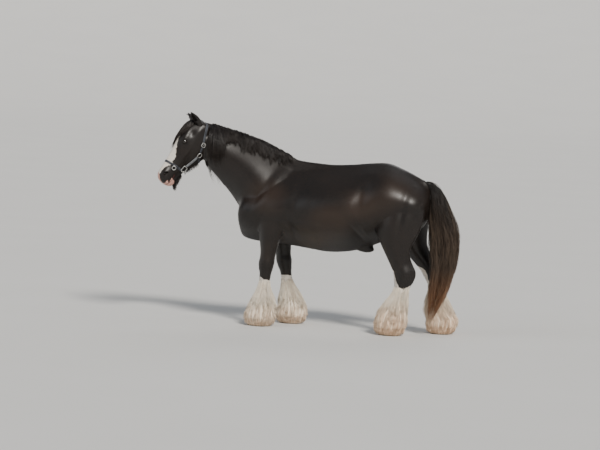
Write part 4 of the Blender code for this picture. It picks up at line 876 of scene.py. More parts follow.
def mesh_of(name, points, tris):
    """A mesh object from points and triangles."""
    tris = np.asarray(tris, np.int32)
    mesh = bpy.data.meshes.new(name)
    mesh.vertices.add(len(points))
    mesh.vertices.foreach_set("co", np.asarray(points, np.float32).ravel())
    mesh.loops.add(len(tris) * 3)
    mesh.loops.foreach_set("vertex_index", tris.ravel())
    mesh.polygons.add(len(tris))
    mesh.polygons.foreach_set("loop_start", np.arange(0, len(tris) * 3, 3, dtype=np.int32))
    mesh.update(calc_edges=True)
    mesh.shade_smooth()
    obj = bpy.data.objects.new(name, mesh)
    bpy.context.scene.collection.objects.link(obj)
    return obj


def with_values(obj, name, values):
    """A number for each vertex, which the materials read by name."""
    layer = obj.data.attributes.new(name, "FLOAT", "POINT")
    layer.data.foreach_set("value", np.asarray(values, np.float32))


def head_frame():
    """Origin and unit axes (t, q, side) of the head, where the neck's turn has carried it."""
    origin = head_at(0.3, 0.0, 0.0)
    axes = [unit(head_at(*spot) - origin) for spot in ((0.4, 0, 0), (0.3, 0.1, 0), (0.3, 0, 0.1))]
    return origin, np.array(axes)


def in_head(points):
    """(t, q, side) of points in the head's own frame."""
    origin, axes = head_frame()
    local = (points - origin) @ axes.T
    local[:, 0] += 0.3
    return local


def skin_shape():
    """The body's skin, finer than the solids' and smooth, without the coat's long hair."""
    shapes = [(bent(points), faces) for points, faces in (station_loft(NECK, 80, 64), head_shape())]
    shapes += [station_loft(TRUNK, 110, 80), ellipsoid(*SHEATH, 10)]
    shapes += [leg_shape(name, FORE if name.endswith("fore") else HIND, 80, 32) for name in FEET]
    skin = joined("skin", shapes)
    remesh = skin.modifiers.new("Remesh", "REMESH")
    remesh.mode = "VOXEL"
    remesh.voxel_size = SKIN_VOXEL
    applied(skin)
    smoothed(skin, SKIN_SMOOTH)
    points = coords(skin)
    weigh(skin, "body", (points[:, 0] > -0.80) & (points[:, 2] > 0.72))
    smoothed(skin, BODY_SMOOTH, "body")
    eased(skin, mirrored(CHEST), 0.15, 240)
    eased(skin, mirrored(SHOULDER), 0.11, 200)
    x, y, z = coords(skin).T
    weigh(skin, "spine", (np.abs(y) < 0.08) & (z > 1.20) & (np.abs(x - 0.48) < 0.58))
    smoothed(skin, 140, "spine")
    points, normals = coords(skin), coords(skin, "normal")
    moved = swollen(points, normals, points[:, [0, 2]], BODY_SWELLS + FOLDS)
    set_coords(skin, moved - normals * FUR_DEPTH)
    eased(skin, mirrored(BREAST), 0.13, 120)
    chosen = coords(skin)[:, 0] > -0.87
    weigh(skin, "thin", chosen)
    counts = [(len(face.vertices) - 2, chosen[face.vertices[0]]) for face in skin.data.polygons]
    total = sum(count for count, _ in counts)
    there = sum(count for count, inside in counts if inside)
    decimate = skin.modifiers.new("Decimate", "DECIMATE")
    decimate.ratio = (total - there + BODY_TRIANGLES) / total
    decimate.vertex_group = "thin"
    decimate.vertex_group_factor = 100.0
    return applied(skin)


def mirrored(spots):
    return [(x, y * side, z) for x, y, z in spots for side in (-1, 1)]


def eased(obj, spots, reach, rounds):
    """The surface smoothed near the given spots only."""
    points = coords(obj)
    near = np.zeros(len(points), bool)
    for spot in spots:
        near |= np.linalg.norm(points - np.asarray(spot), axis=1) < reach
    name = f"near{len(obj.vertex_groups)}"
    weigh(obj, name, near)
    return smoothed(obj, rounds, name)


def finer(obj, spots, reach):
    """The surface's triangles split in four near the given spots."""
    shell = bmesh.new()
    shell.from_mesh(obj.data)
    near = set()
    for edge in shell.edges:
        middle = np.array((edge.verts[0].co + edge.verts[1].co) / 2)
        if min(np.linalg.norm(middle - spot) for spot in spots) < reach:
            near.add(edge)
    bmesh.ops.subdivide_edges(shell, edges=list(near), cuts=1, use_grid_fill=True)
    bmesh.ops.triangulate(shell, faces=shell.faces)
    shell.to_mesh(obj.data)
    shell.free()


def lid_folds(skin):
    """Creases over and under the lids, a brow ridge and the corner's fold."""
    points, normals = coords(skin), coords(skin, "normal")
    for centre, look, along, across in EYES.values():
        rel = points - centre
        u, v = rel @ along, rel @ across
        front = (rel @ look > -0.01) & (np.linalg.norm(rel, axis=1) < 0.060)
        lift = np.zeros(len(points))
        for height, wide, deep, size in LID_FOLDS:
            arc = height * np.clip(1 - (u / 0.036) ** 2, -0.4, 1)
            fade = np.exp(-((u / wide) ** 4))
            lift += size * np.exp(-(((v - arc) / deep) ** 2)) * fade
        points = points + normals * (lift * front)[:, None]
    set_coords(skin, points)


def fine_ear(name):
    """One ear above its root, hollowed in front, as two closed shapes: the ear and its cup."""
    side = side_sign(name)
    t, q, y = EAR_ROOT
    root = head_at(t, q, y * side)
    t, q, y = EAR_TIPS[name]
    tip = head_at(t, q, y * side)
    axis = tip - root
    outward = head_at(EAR_ROOT[0], EAR_ROOT[1], 0.2 * side) - root
    ahead = head_at(EAR_ROOT[0] + 0.1, EAR_ROOT[1] + 0.05, EAR_ROOT[2] * side) - root
    front = unit(outward) * 0.55 + unit(ahead)
    front = unit(front - unit(axis) * np.dot(front, unit(axis)))
    across = np.cross(unit(axis), front)
    ear, cup = [], []
    for s, wide, deep in through(EAR_ROWS, 30):
        curl = front * 0.010 * max(s, 0.0) ** 2
        centre = root + axis * s + curl
        ear.append(oval(centre, across * wide, front * deep, 32))
        if EAR_STUB < s < 0.965:
            cup.append(oval(centre + front * deep * 0.80, across * wide * 0.74, front * deep * 1.10, 24))
    return facing_out(*loft(ear)), facing_out(*loft(cup))


def nostril_shape(tree, side):
    """A comma-shaped hollow for one nostril, and its middle."""
    t, q = NOSTRIL
    spot, inner = head_at(t, q, OUTSIDE * side), head_at(t, q - 0.016, 0.0)
    aim = unit(inner - spot)
    hit = met(tree, spot, inner)[0]
    down = unit(head_at(0.60, 0.010, 0.0) - head_at(t, q, 0.0))
    points, faces = ball(hit, (aim * 0.024, down * 0.026, np.cross(aim, down) * 0.0125), (32, 20))
    rel = points - hit
    along = rel @ down
    bend = np.cross(aim, down) * side
    points = points + np.outer((along / 0.026) ** 2 * 0.008, bend)
    return (points, faces), hit


def head_done(skin):
    """Ears, lids, sockets, nostrils and the line of the mouth, on the skin."""
    tree = tree_from(skin)
    ears, cups, soft = [], [], []
    for name in ("near", "far"):
        ear, cup = fine_ear(name)
        ears.append(ear)
        cups.append(cup)
        soft.append(head_at(EAR_ROOT[0], EAR_ROOT[1], EAR_ROOT[2] * side_sign(name)))
    lids = []
    for name in ("near", "far"):
        centre, look, along, across = eye_place(tree, name)
        across = across * side_sign(name)
        EYES[name] = (centre, look, along, across)
        lids.append(ball(centre, np.array((look, along, across)) * (EYE_RADIUS + LID), (48, 32)))
    middles = [eye[0] for eye in EYES.values()]
    fused(skin, ears + lids)
    eased(skin, soft, 0.045, 5)
    eased(skin, middles, 0.046, 5)
    finer(skin, middles, 0.052)
    finer(skin, [head_at(0.55, -0.018, 0.050 * sign) for sign in (-1, 1)], 0.048)
    eased(skin, middles, 0.050, 2)
    lid_folds(skin)
    for name, (centre, look, along, across) in EYES.items():
        cut(skin, lid_opening(centre, look, along, across, 0.004, 0.05))
        cut(skin, ball(centre, np.array((look, along, across)) * (EYE_RADIUS + GAP), (48, 32)))
        side = side_sign(name)
        shape, hit = nostril_shape(tree, side)
        cut(skin, shape)
        eased(skin, [hit], 0.022, 2)
    for cup in cups:
        cut(skin, cup)
    slit = []
    for t, q, tall in MOUTH_CUTS:
        over, under = head_at(t, q + tall / 2, 0.0), head_at(t, q - tall / 2, 0.0)
        aside = head_at(t, q, 0.09) - head_at(t, q, 0.0)
        slit.append([over - aside, over + aside, under + aside, under - aside])
    cut(skin, facing_out(*loft(slit)))


def lid_opening(centre, look, along, across, low, high):
    """The opening between the lids, rounder above than below and pointed at its corners."""
    half, over, under = LIDS
    rings = []
    for depth in (low, high):
        ring = []
        for k in range(40):
            angle = 2 * math.pi * k / 40
            rise = math.sin(angle) * abs(math.sin(angle)) ** 0.35
            tall = (over if rise > 0 else under) * rise
            ring.append(centre + look * depth + along * half * math.cos(angle) + across * tall)
        rings.append(ring)
    return facing_out(*loft(rings))


def bone_of(points):
    """Which part of the body each point is nearest: 0 trunk and neck, 1 head, 2 to 5 the legs."""
    bone = np.zeros(len(points), int)
    bone[points[:, 0] < -0.90] = 1
    for k, (name, (x, y)) in enumerate(FEET.items()):
        fore = name.endswith("fore")
        low = points[:, 2] < (0.86 if fore else 0.84)
        beside = np.sign(points[:, 1]) == np.sign(y)
        span = (points[:, 0] < 0.15) if fore else (points[:, 0] > 0.55)
        wide = np.abs(points[:, 1]) > (0.10 if fore else 0.03)
        sheath = (np.abs(points[:, 1]) < 0.09) & (points[:, 0] < 0.70) & (points[:, 2] > 0.66)
        bone[low & beside & span & wide & ~(sheath & (points[:, 0] > 0.40)) & (points[:, 0] > -0.62)] = 2 + k
    return bone


def rolled(points, k):
    """Turn round the part's own axis and reach along it, which unroll one part of the skin."""
    if k == 0:
        height = np.interp(points[:, 0], (-0.9, -0.5, -0.1, 0.4), (1.60, 1.42, 1.12, 1.08))
        aside = np.interp(points[:, 0], (-0.9, -0.6, -0.3), (-0.16, -0.05, 0.0))
        return np.arctan2(points[:, 1] - aside, height - points[:, 2]), (points[:, 0] + 0.95) / 2.15
    if k == 1:
        local = in_head(points)
        return np.arctan2(local[:, 2], local[:, 1] + 0.10), (local[:, 0] + 0.15) / 0.85
    x, y = FEET[list(FEET)[k - 2]]
    return np.arctan2(points[:, 1] - y, points[:, 0] - x - 0.02), points[:, 2] / 0.90


def unrolled(bone, turn, reach):
    """Places on the skin's map: the trunk and neck above, the head and the legs below."""
    across = np.clip((turn + math.pi * 1.1) / (2.2 * math.pi), 0, 1)
    along = np.clip(reach, 0, 1)
    low_u = np.choose(bone, (0.01, 0.01, 0.36, 0.52, 0.68, 0.84))
    wide_u = np.choose(bone, (0.98, 0.33, 0.15, 0.15, 0.15, 0.15))
    low_v = np.where(bone == 0, 0.51, 0.01)
    u = low_u + wide_u * np.where(bone == 0, along, across)
    v = low_v + 0.48 * np.where(bone == 0, across, along)
    return np.stack([u, v], axis=1)


def skin_uv(obj):
    """The skin's unwrap: trunk and neck, head and legs each rolled out in a tile of their own."""
    mesh = obj.data
    points, corners = coords(obj), corners_of(obj)
    count = len(mesh.polygons)
    sizes, centres = np.empty(count, np.int32), np.empty(count * 3)
    mesh.polygons.foreach_get("loop_total", sizes)
    mesh.polygons.foreach_get("center", centres)
    centres = centres.reshape(-1, 3)
    face_of = np.repeat(np.arange(count), sizes)
    bones = bone_of(centres)[face_of]
    turn, reach = np.zeros(len(corners)), np.zeros(len(corners))
    for k in range(6):
        here = bones == k
        around, along = rolled(points, k)
        middle = rolled(centres, k)[0]
        own = around[corners[here]]
        own -= 2 * math.pi * np.round((own - middle[face_of[here]]) / (2 * math.pi))
        turn[here], reach[here] = own, along[corners[here]]
    set_uv(obj, unrolled(bones, turn, reach))


def flow(points, bone):
    """The way the coat lies: back and down over the trunk, down the legs and down the face."""
    way = np.tile((0.80, 0.0, -0.45), (len(points), 1))
    way[bone >= 2] = (0.18, 0.0, -1.0)
    way[bone == 1] = head_frame()[1][0]
    return way


def breaking(points, normals, bone):
    """How thickly tufts stand: most where the coat breaks the form's outline."""
    x, y, z = points.T
    nx, nz = normals[:, 0], normals[:, 2]
    t = in_head(points)[:, 0]
    trunk, head, leg = bone == 0, bone == 1, bone >= 2
    share = np.zeros(len(points))
    for chosen, much in (
        (trunk & (nz < -0.5) & (z < 1.0), 1.0),
        (trunk & (x < -0.45) & (nx < -0.4) & (z < 1.25), 0.9),
        (trunk & (x > 1.0) & (nx > 0.5), 1.0),
        (trunk & (nz > 0.85) & (z > 1.40), 0.5),
        (trunk & (np.hypot(x - 0.60, z - 0.90) < 0.16), 0.9),
        (leg & (nx > 0.4) & (z > 0.42), 1.6),
        (leg & (z > 0.38) & (z < 0.56), 1.3),
        (head & (nz < -0.2) & (t < 0.48), 1.5),
    ):
        share[chosen] = np.maximum(share[chosen], much)
    share[head & (t > 0.50)] = 0.0
    share[leg & (z < 0.38)] = 0.0
    return share


def short_coat(skin, paint):
    """Short hairs of the coat, where they break the outline."""
    mesh = skin.data
    mesh.calc_loop_triangles()
    tris = np.empty(len(mesh.loop_triangles) * 3, np.int32)
    mesh.loop_triangles.foreach_get("vertices", tris)
    a, b, c = coords(skin)[tris.reshape(-1, 3)].transpose(1, 0, 2)
    normals = np.cross(b - a, c - a)
    area = np.linalg.norm(normals, axis=1) / 2
    normals /= 2 * area[:, None] + 1e-12
    middles = (a + b + c) / 3
    bone = bone_of(middles)
    rng = np.random.default_rng(71)
    chance = area * breaking(middles, normals, bone)
    for eye in EYES.values():
        chance[np.linalg.norm(middles - eye[0], axis=1) < 0.05] = 0.0
    picked = rng.choice(len(area), COAT_TUFTS, p=chance / chance.sum())
    u, v = rng.uniform(0, 1, (2, COAT_TUFTS))
    over = u + v > 1
    u[over], v[over] = 1 - u[over], 1 - v[over]
    root = a[picked] + (b - a)[picked] * u[:, None] + (c - a)[picked] * v[:, None]
    out, part = normals[picked], bone[picked]
    way = flow(root, part) + rng.normal(0, 0.16, root.shape)
    way -= out * np.sum(way * out, axis=1, keepdims=True)
    way /= np.linalg.norm(way, axis=1, keepdims=True)
    long = rng.uniform(0.012, 0.024, COAT_TUFTS)
    long = np.where(part == 1, long * 0.7, np.where(part >= 2, long * 1.15, long))[:, None]
    tip = root + way * long + out * long * rng.uniform(0.03, 0.16, (COAT_TUFTS, 1))
    side = np.cross(out, way)
    start = root - out * 0.0015 + side * rng.normal(0, 0.0028, (COAT_TUFTS, 1))
    tip = tip + side * rng.normal(0, 0.0016, (COAT_TUFTS, 1))
    ways = np.stack([start, (start + tip) / 2 + out * long * 0.05, tip], axis=1)
    around, along = np.zeros(COAT_TUFTS), np.zeros(COAT_TUFTS)
    for k in range(6):
        own = rolled(root, k)
        around = np.where(part == k, own[0], around)
        along = np.where(part == k, own[1], along)
    place = unrolled(part, around, along)
    tone = np.clip(rng.normal(0.5, 0.2, COAT_TUFTS), 0, 1)
    wide = rng.uniform(0.0005, 0.0010, COAT_TUFTS)
    hair_piece("short_coat", ways, out, wide, place, tone, "coat", paint)


def lashes(paint):
    """Lashes of the upper lids and a few whiskers of the muzzle."""
    rng = np.random.default_rng(73)
    rows = []
    half, over, _ = LIDS
    for name, (centre, look, along, across) in EYES.items():
        for _ in range(26):
            u = rng.uniform(-0.70, 0.80)
            spot = centre + along * half * u + across * over * math.sqrt(1 - u * u)
            spot = spot + look * EYE_RADIUS * 0.80
            ahead = unit(look * 0.85 + across * 0.22 + along * 0.35 * u)
            size = rng.uniform(0.010, 0.017)
            way = [spot + ahead * size * w - across * 0.10 * size * w * w for w in np.linspace(-0.2, 1, 4)]
            rows.append((way, unit(across), (0.5 + 0.4 * u, 0.2 + 0.5 * (name == "far"))))
    for sign in (-1, 1):
        for _ in range(16):
            t, q = rng.uniform(0.555, 0.615), rng.uniform(-0.135, -0.050)
            spot = head_at(t, q, 0.044 * sign)
            ahead = unit(head_at(t + 0.03, q - 0.02, 0.09 * sign) - spot)
            size = rng.uniform(0.014, 0.034)
            fall = np.array((0, 0, 0.2 * size))
            way = [spot + ahead * size * w - fall * w * w for w in np.linspace(0, 1, 4)]
            rows.append((way, unit(np.cross(ahead, (0.2, 0.3, 1.0))), (0.5 + 0.4 * sign, (t - 0.5) * 5)))
    hair_piece("lashes", *gathered(rng, rows, 2, 0.0008, 0.0006, 0.0, 5, 0.0006), "coat", paint)


def rough(points, scale, seed):
    """A smooth wobble between about -1 and 1, from sines in fixed odd directions."""
    rng = np.random.default_rng(seed)
    total = np.zeros(len(points))
    for _ in range(7):
        way = rng.normal(size=3)
        way *= rng.uniform(0.7, 1.7) * 2 * math.pi / scale / np.linalg.norm(way)
        total += np.sin(points @ way + rng.uniform(0, 6.28))
    return total / 3.5


def sock_top(name, points):
    """Height of the white's upper edge on a leg."""
    x = FEET[name][0]
    if name.endswith("fore"):
        return 0.415 + 0.20 * np.clip(x + 0.02 - points[:, 0], -0.05, 0.05)
    behind = points[:, 0] - x - leg_sway(name, 0.45)[0]
    return np.interp(behind, *HOCK_WHITE)


def markings(skin):
    """White legs, the blaze and the pink of lips and snip, as numbers on the vertices.

    The white is 0.5 on its edge and rises inwards by 1 every MARK_SPAN.
    """
    points = coords(skin)
    inside = np.full(len(points), -MARK_SPAN)
    bone = bone_of(points)
    for k, name in enumerate(FEET):
        edge = sock_top(name, points) + 0.010 * rough(points, 0.09, 3 + k)
        inside = np.where(bone == 2 + k, edge - points[:, 2], inside)
    t, q, y = in_head(points).T
    head = points[:, 0] < -0.90
    place, wide, off = np.array(BLAZE).T
    half, centre = np.interp(t, place, wide), np.interp(t, place, off)
    face = half - np.abs(y - centre) + 0.0035 * rough(points, 0.07, 9) + 0.002 * rough(points, 0.025, 12)
    face = np.where(head & (q > -0.060) & (half > 0), face, -MARK_SPAN)
    inside = np.maximum(inside, face)
    with_values(skin, "white", np.clip(0.5 + inside / MARK_SPAN, 0, 1))
    snip = 1.0 - np.hypot((t - 0.602) / 0.034, (y + 0.002) / 0.024)
    snip = np.where(q > -0.078, snip, -1)
    wobble = 0.010 * rough(points, 0.035, 5)
    chin = np.minimum((t - 0.556 + wobble) / 0.020, (-0.102 - q + wobble * 0.5) / 0.014)
    upper = np.minimum((t - 0.588 + wobble) / 0.016, (-0.074 - q + wobble * 0.5) / 0.014)
    pink = np.where(head, np.maximum(snip, np.maximum(chin, upper)), -1)
    with_values(skin, "pink", np.clip(0.5 + 0.5 * pink, 0, 1))
    mouth = np.clip(1.2 - np.abs(q - np.interp(t, *MOUTH)) / 0.004, 0, 1) * (t > MOUTH[0][0]) * head
    with_values(skin, "mouth", mouth)
    # The coat's brown at random over the body, with patches of painted sheen added where its highlights lie
    brown_and_sheen = 0.30 * rough(points, 0.45, 21)
    for (x, z), reach in BROWN_AND_SHEEN:
        brown_and_sheen += np.exp(-((points[:, 0] - x) ** 2 + (points[:, 2] - z) ** 2) / reach**2)
    with_values(skin, "brown_and_sheen", np.clip(brown_and_sheen, 0, 1))
    bare = np.zeros(len(points))
    for name in ("near", "far"):
        sign = side_sign(name)
        nose = head_at(0.548, -0.020, 0.055 * sign)
        bare = np.maximum(bare, np.clip(1.6 - np.linalg.norm(points - nose, axis=1) / 0.034, 0, 1))
    for centre, look, along, across in EYES.values():
        rel = points - centre
        ring = np.hypot(rel @ along / 1.25, rel @ across)
        bare = np.maximum(bare, np.clip(1.8 - ring / 0.0165, 0, 1) * (rel @ look > 0))
    with_values(skin, "bare", bare)


# Hair: guides are ways of whole tufts, from which many fine strands are drawn
def resampled(ways, count, lengths):
    """Each way cut to its own share of length and given count points."""
    n, k, _ = ways.shape
    steps = np.linspace(0, 1, count)[None, :] * lengths[:, None] * (k - 1)
    low = np.minimum(steps.astype(int), k - 2)
    part = (steps - low)[..., None]
    index = np.arange(n)[:, None]
    before = ways[index, np.maximum(low - 1, 0)]
    a, b = ways[index, low], ways[index, low + 1]
    after = ways[index, np.minimum(low + 2, k - 1)]
    square, cube = 2 * before - 5 * a + 4 * b - after, 3 * a - before - 3 * b + after
    return 0.5 * (2 * a + (b - before) * part + square * part**2 + cube * part**3)


def beside(ways, outs):
    """The two directions across each strand all along it: to its side, and up off the skin."""
    ahead = np.gradient(ways, axis=1)
    ahead /= np.linalg.norm(ahead, axis=2, keepdims=True) + 1e-9
    side = np.cross(ahead, outs[:, None, :])
    side /= np.linalg.norm(side, axis=2, keepdims=True) + 1e-9
    return side, np.cross(side, ahead)


def tufts(rng, guides, outs, per, root, tip, wave, count, shortest=0.72):
    """Strands round guides: scattered by root at their start and drawn together to tip."""
    g, k, _ = guides.shape
    ways = np.repeat(guides, per, axis=0)
    outs = np.repeat(outs, per, axis=0)
    lengths = rng.uniform(shortest, 1.0, len(ways))
    ways = resampled(ways, count, lengths)
    side, up = beside(ways, outs)
    turn = rng.uniform(0, 2 * math.pi, len(ways))
    far = np.sqrt(rng.uniform(0, 1, len(ways)))
    t = np.linspace(0, 1, count)
    spread = root + (tip - root) * t**1.3 + 0.35 * root * np.sin(math.pi * t)
    a = (far * np.cos(turn))[:, None] * spread
    b = (far * np.sin(turn))[:, None] * spread * 0.45
    phase = rng.uniform(0, 2 * math.pi, (len(ways), 2))
    pitch = rng.uniform(1.0, 2.2, len(ways))[:, None]
    ripple = wave * t * (0.5 + rng.uniform(0, 1, len(ways))[:, None])
    a = a + ripple * np.sin(phase[:, :1] + 2 * math.pi * pitch * t)
    b = b + 0.5 * ripple * np.sin(phase[:, 1:] + 2 * math.pi * pitch * t)
    return ways + side * a[..., None] + up * b[..., None], outs, lengths


def hair_piece(name, ways, outs, wide, uv, tone, slot, paint, replaced=()):
    """One mesh of three-sided tapered strands, with their place along, tone and bake map."""
    n, k, _ = ways.shape
    ways = ways.copy()
    ways[..., 2] = np.maximum(ways[..., 2], FLOOR_CLEAR)
    side, up = beside(ways, outs)
    t = np.linspace(0, 1, k)
    taper = np.interp(t, (0, 0.25, 0.7, 1.0), (0.75, 1.0, 0.8, 0.25))
    shape = taper[None, :, None] * wide[:, None, None] / 2
    corners = []
    for turn in (0.0, 2.0944, 4.1888):
        corners.append(ways + side * shape * math.sin(turn) + up * shape * 0.7 * math.cos(turn))
    body = np.stack([c[:, :-1] for c in corners], axis=2).reshape(n, (k - 1) * 3, 3)
    points = np.concatenate([body, ways[:, -1:]], axis=1)
    pattern = [(0, 2, 1)]
    for s in range(k - 2):
        for j in range(3):
            a, b = 3 * s + j, 3 * s + (j + 1) % 3
            pattern += [(a, b, b + 3), (a, b + 3, a + 3)]
    end = 3 * (k - 2)
    pattern += [(end + j, end + (j + 1) % 3, 3 * (k - 1)) for j in range(3)]
    pattern = np.array(pattern)
    per = 3 * (k - 1) + 1
    tris = (pattern[None] + np.arange(n)[:, None, None] * per).reshape(-1, 3)
    obj = mesh_of(name, points.reshape(-1, 3), tris)
    along = np.append(np.repeat(t[:-1], 3), 1.0)
    with_values(obj, "along", np.tile(along, n))
    with_values(obj, "tone", np.repeat(tone, per))
    patch = np.zeros((per, 2))
    patch[:, 0] = np.append(np.tile((0.0, 0.5, 1.0), k - 1), 0.5)
    patch[:, 1] = along
    whole = np.repeat(uv, per, axis=0) * (1 - PATCH) + np.tile(patch, (n, 1)) * PATCH
    set_uv(obj, whole[tris.ravel()])
    finish_piece(obj, paint, replaced)


def finish_piece(obj, paint, replaced=()):
    obj.data.materials.append(paint)
    MADE.append(obj)
    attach(obj, "root")
    if replaced:
        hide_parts(*replaced)


def laid(tree, start, heading, length, steps, lift, fall, sink=0.004, hug=0.0, rise=0.12):
    """A tuft's way: out of the skin at start, then along it while its weight turns it down."""
    near, normal = nearest(tree, start)
    ahead = unit(np.asarray(heading, float) + normal * rise)
    way = [near - normal * sink, near + normal * lift * 0.6]
    for k in range(steps):
        ahead = unit(ahead + np.array((0, 0, -fall / steps)))
        point = way[-1] + ahead * length / steps
        foot, out = nearest(tree, point)
        above = np.dot(point - foot, out)
        point = point + out * (lift - above) * (1.0 if above < lift else hug)
        ahead = unit(point - way[-1])
        way.append(point)
    return way, normal


def gathered(rng, rows, per, root, tip, wave, count, wide, shortest=0.72):
    """Strand arrays from a list of (way, outward, place on the unwrap)."""
    guides = np.array([r[0] for r in rows])
    outs = np.array([r[1] for r in rows])
    ways, outs, lengths = tufts(rng, guides, outs, per, root, tip, wave, count, shortest)
    place = np.repeat(np.array([r[2] for r in rows]), per, axis=0)
    tone = np.clip(np.repeat(rng.normal(0.5, 0.18, len(rows)), per) + rng.normal(0, 0.10, len(ways)), 0, 1)
    return ways, outs, wide * rng.uniform(0.7, 1.25, len(ways)), np.clip(place, 0, 1), tone


def lie(x, side, backwards):
    """The way the mane lies over the neck at an x before the neck's turn."""
    aside = unit(bent([(x, 1.0, 0.0)])[0] - bent([(x, 0.0, 0.0)])[0])
    return aside * side * 0.85 + np.cross(aside, (0, 0, 1)) * backwards - np.array((0, 0, 0.35))


def crest_spot(tree, x, aside):
    above = bent([(x, aside, 2.4)])[0]
    return np.array(tree.ray_cast(Vector(above), Vector((0, 0, -1)))[0])


def mane(tree, paint):
    """The short near side, the long far side, and the loose hair behind the jaw."""
    rng = np.random.default_rng(41)
    rows = {part: [] for part in MANE_STRANDS}
    for part, count, span, off, sizes, fade, side, back, steps, lift, fall, hug in MANE_PARTS:
        for _ in range(count):
            x = rng.uniform(*span)
            aside = rng.uniform(*off)
            size = rng.uniform(*sizes)
            if part == "near":
                size += (0.045 * math.sin(x * 31) + 0.03 * math.sin(x * 74)) * 0.55
            size = max(size * np.interp(x, *fade), SHORTEST_MANE)
            heading = lie(x, side, rng.uniform(*back))
            spot = crest_spot(tree, x, aside)
            way, out = laid(tree, spot, heading, size, steps, rng.uniform(*lift), fall, hug=hug)
            rows[part].append((way, out, ((x + 0.87) / 0.74, (aside + 0.04) / 0.09)))
    for part, (per, *rest) in MANE_STRANDS.items():
        hair_piece("mane_" + part, *gathered(rng, rows[part], per, *rest), "coat", paint)


def forelock(tree, paint):
    rng = np.random.default_rng(43)
    rows = []
    down = unit(head_at(0.2, 0.05, 0.0) - head_at(0.1, 0.05, 0.0))
    aside = unit(head_at(0.2, 0.05, 0.1) - head_at(0.2, 0.05, 0.0))
    for _ in range(FORELOCK_TUFTS):
        y = rng.uniform(-0.040, 0.044)
        share = (y + 0.040) / 0.084
        size = np.interp(share, (0, 0.3, 0.6, 0.85, 1.0), (0.13, 0.24, 0.36, 0.36, 0.26))
        size *= rng.uniform(0.75, 1.08)
        drift = np.interp(share, (0, 0.5, 1.0), (-0.16, 0.10, 0.26)) + rng.uniform(-0.05, 0.05)
        t = rng.uniform(-0.030, 0.036)
        spot, lift = head_at(t, 0.036, y), rng.uniform(0.004, 0.015)
        way, out = laid(tree, spot, down + aside * drift, size, 7, lift, 0.0, hug=0.9)
        rows.append((way, out, (share, (t + 0.04) / 0.09)))
    hair_piece("forelock", *gathered(rng, rows, 16, 0.010, 0.004, 0.005, 8, 0.0026), "coat", paint)


def beard(rng, tree, paint):
    """Hair under the chin and along the jaw."""
    rows = []
    for span, half, sizes, long, q, heading, lift, fall in BEARD_PARTS:
        for _ in range(BEARD_TUFTS):
            t, y = rng.uniform(*span), rng.uniform(-half, half)
            size = np.interp(t, *sizes) * rng.uniform(*long)
            way, out = laid(tree, head_at(t, q, y), heading, size, 3, lift, fall, sink=0.003)
            rows.append((way, out, ((t - 0.20) / 0.42, (y + 0.03) / 0.06)))
    hair_piece("beard", *gathered(rng, rows, 12, 0.006, 0.003, 0.003, 5, 0.0011, 0.45), "coat", paint)


def ear_hair(rng, paint):
    """The tufts inside the ears."""
    rows = []
    t, q = EAR_ROOT[:2]
    for name in ("near", "far"):
        sign = side_sign(name)
        root = head_at(*EAR_ROOT[:2], EAR_ROOT[2] * sign)
        axis = head_at(*EAR_TIPS[name][:2], EAR_TIPS[name][2] * sign) - root
        ahead = unit(head_at(t + 0.1, q + 0.05, 0) - head_at(t, q, 0))
        for _ in range(26):
            s = rng.uniform(0.22, 0.75)
            start = root + axis * s + rng.normal(0, 0.006, 3)
            end = start + axis * 0.16 + ahead * rng.uniform(0.010, 0.022)
            way = [start + (end - start) * u + axis * 0.05 * u * u for u in np.linspace(0, 1, 4)]
            rows.append((way, unit(ahead), (0.5 + 0.24 * sign + 0.2 * rng.uniform(-1, 1), s)))
    hair_piece("ear_hair", *gathered(rng, rows, 8, 0.004, 0.002, 0.001, 5, 0.0013), "coat", paint)


def rim_and_skin(name, tree, z, turn):
    """A spot on the feather's outline, and the one on the leg straight in from it."""
    rim = bell_spot(name, z, turn, 1.0)
    core = bell_spot(name, z, turn, 0.0)
    hit = tree.ray_cast(Vector(rim + (rim - core)), Vector(unit(core - rim)))[0]
    return rim, np.array(hit) if hit else core


def bell_guides(rng, name, tree, count):
    """Ways of the feather's tufts from the leg out to the bell, most of them down to the floor."""
    rows = []
    top = 0.405 if name.endswith("fore") else 0.430
    for k in range(count):
        angle = rng.uniform(0, 2 * math.pi)
        share = rng.uniform(0, 1) ** 1.15
        high = 0.115 + (top - 0.115) * share
        drop = rng.uniform(0.13, 0.22) + 0.05 * share
        low = max(high - drop, rng.uniform(0.0005, 0.010))
        depth = rng.uniform(0.50, 0.97) ** 0.6
        lean = rng.uniform(-0.10, 0.10)
        way = []
        for j in range(7):
            u = j / 6
            z = high + (low - high) * u
            turn = angle + lean * u
            rim, skin = rim_and_skin(name, tree, z, turn)
            way.append(skin + (rim - skin) * BELL_SPREAD[j] * depth)
        out = np.array((math.cos(angle), math.sin(angle), 0.3))
        rows.append((way, unit(out), (angle / (2 * math.pi), (high - 0.10) / 0.34)))
    return rows


def feathers(tree):
    clean = feather_paint("feather_white", 0.70, 0.12)
    dirty = feather_paint("feather_stained", 0.95, 0.24)
    paints = {"near_fore": clean, "far_fore": clean, "near_hind": dirty, "far_hind": dirty}
    for k, name in enumerate(FEET):
        rng = np.random.default_rng(50 + k)
        rows = bell_guides(rng, name, tree, BELL_TUFTS)
        hair = gathered(rng, rows, 12, 0.014, 0.0100, 0.0038, 6, 0.0027, 0.90)
        hair_piece(name + "_feather", *hair, "feather", paints[name])
        feather_under(name, tree, paints[name])


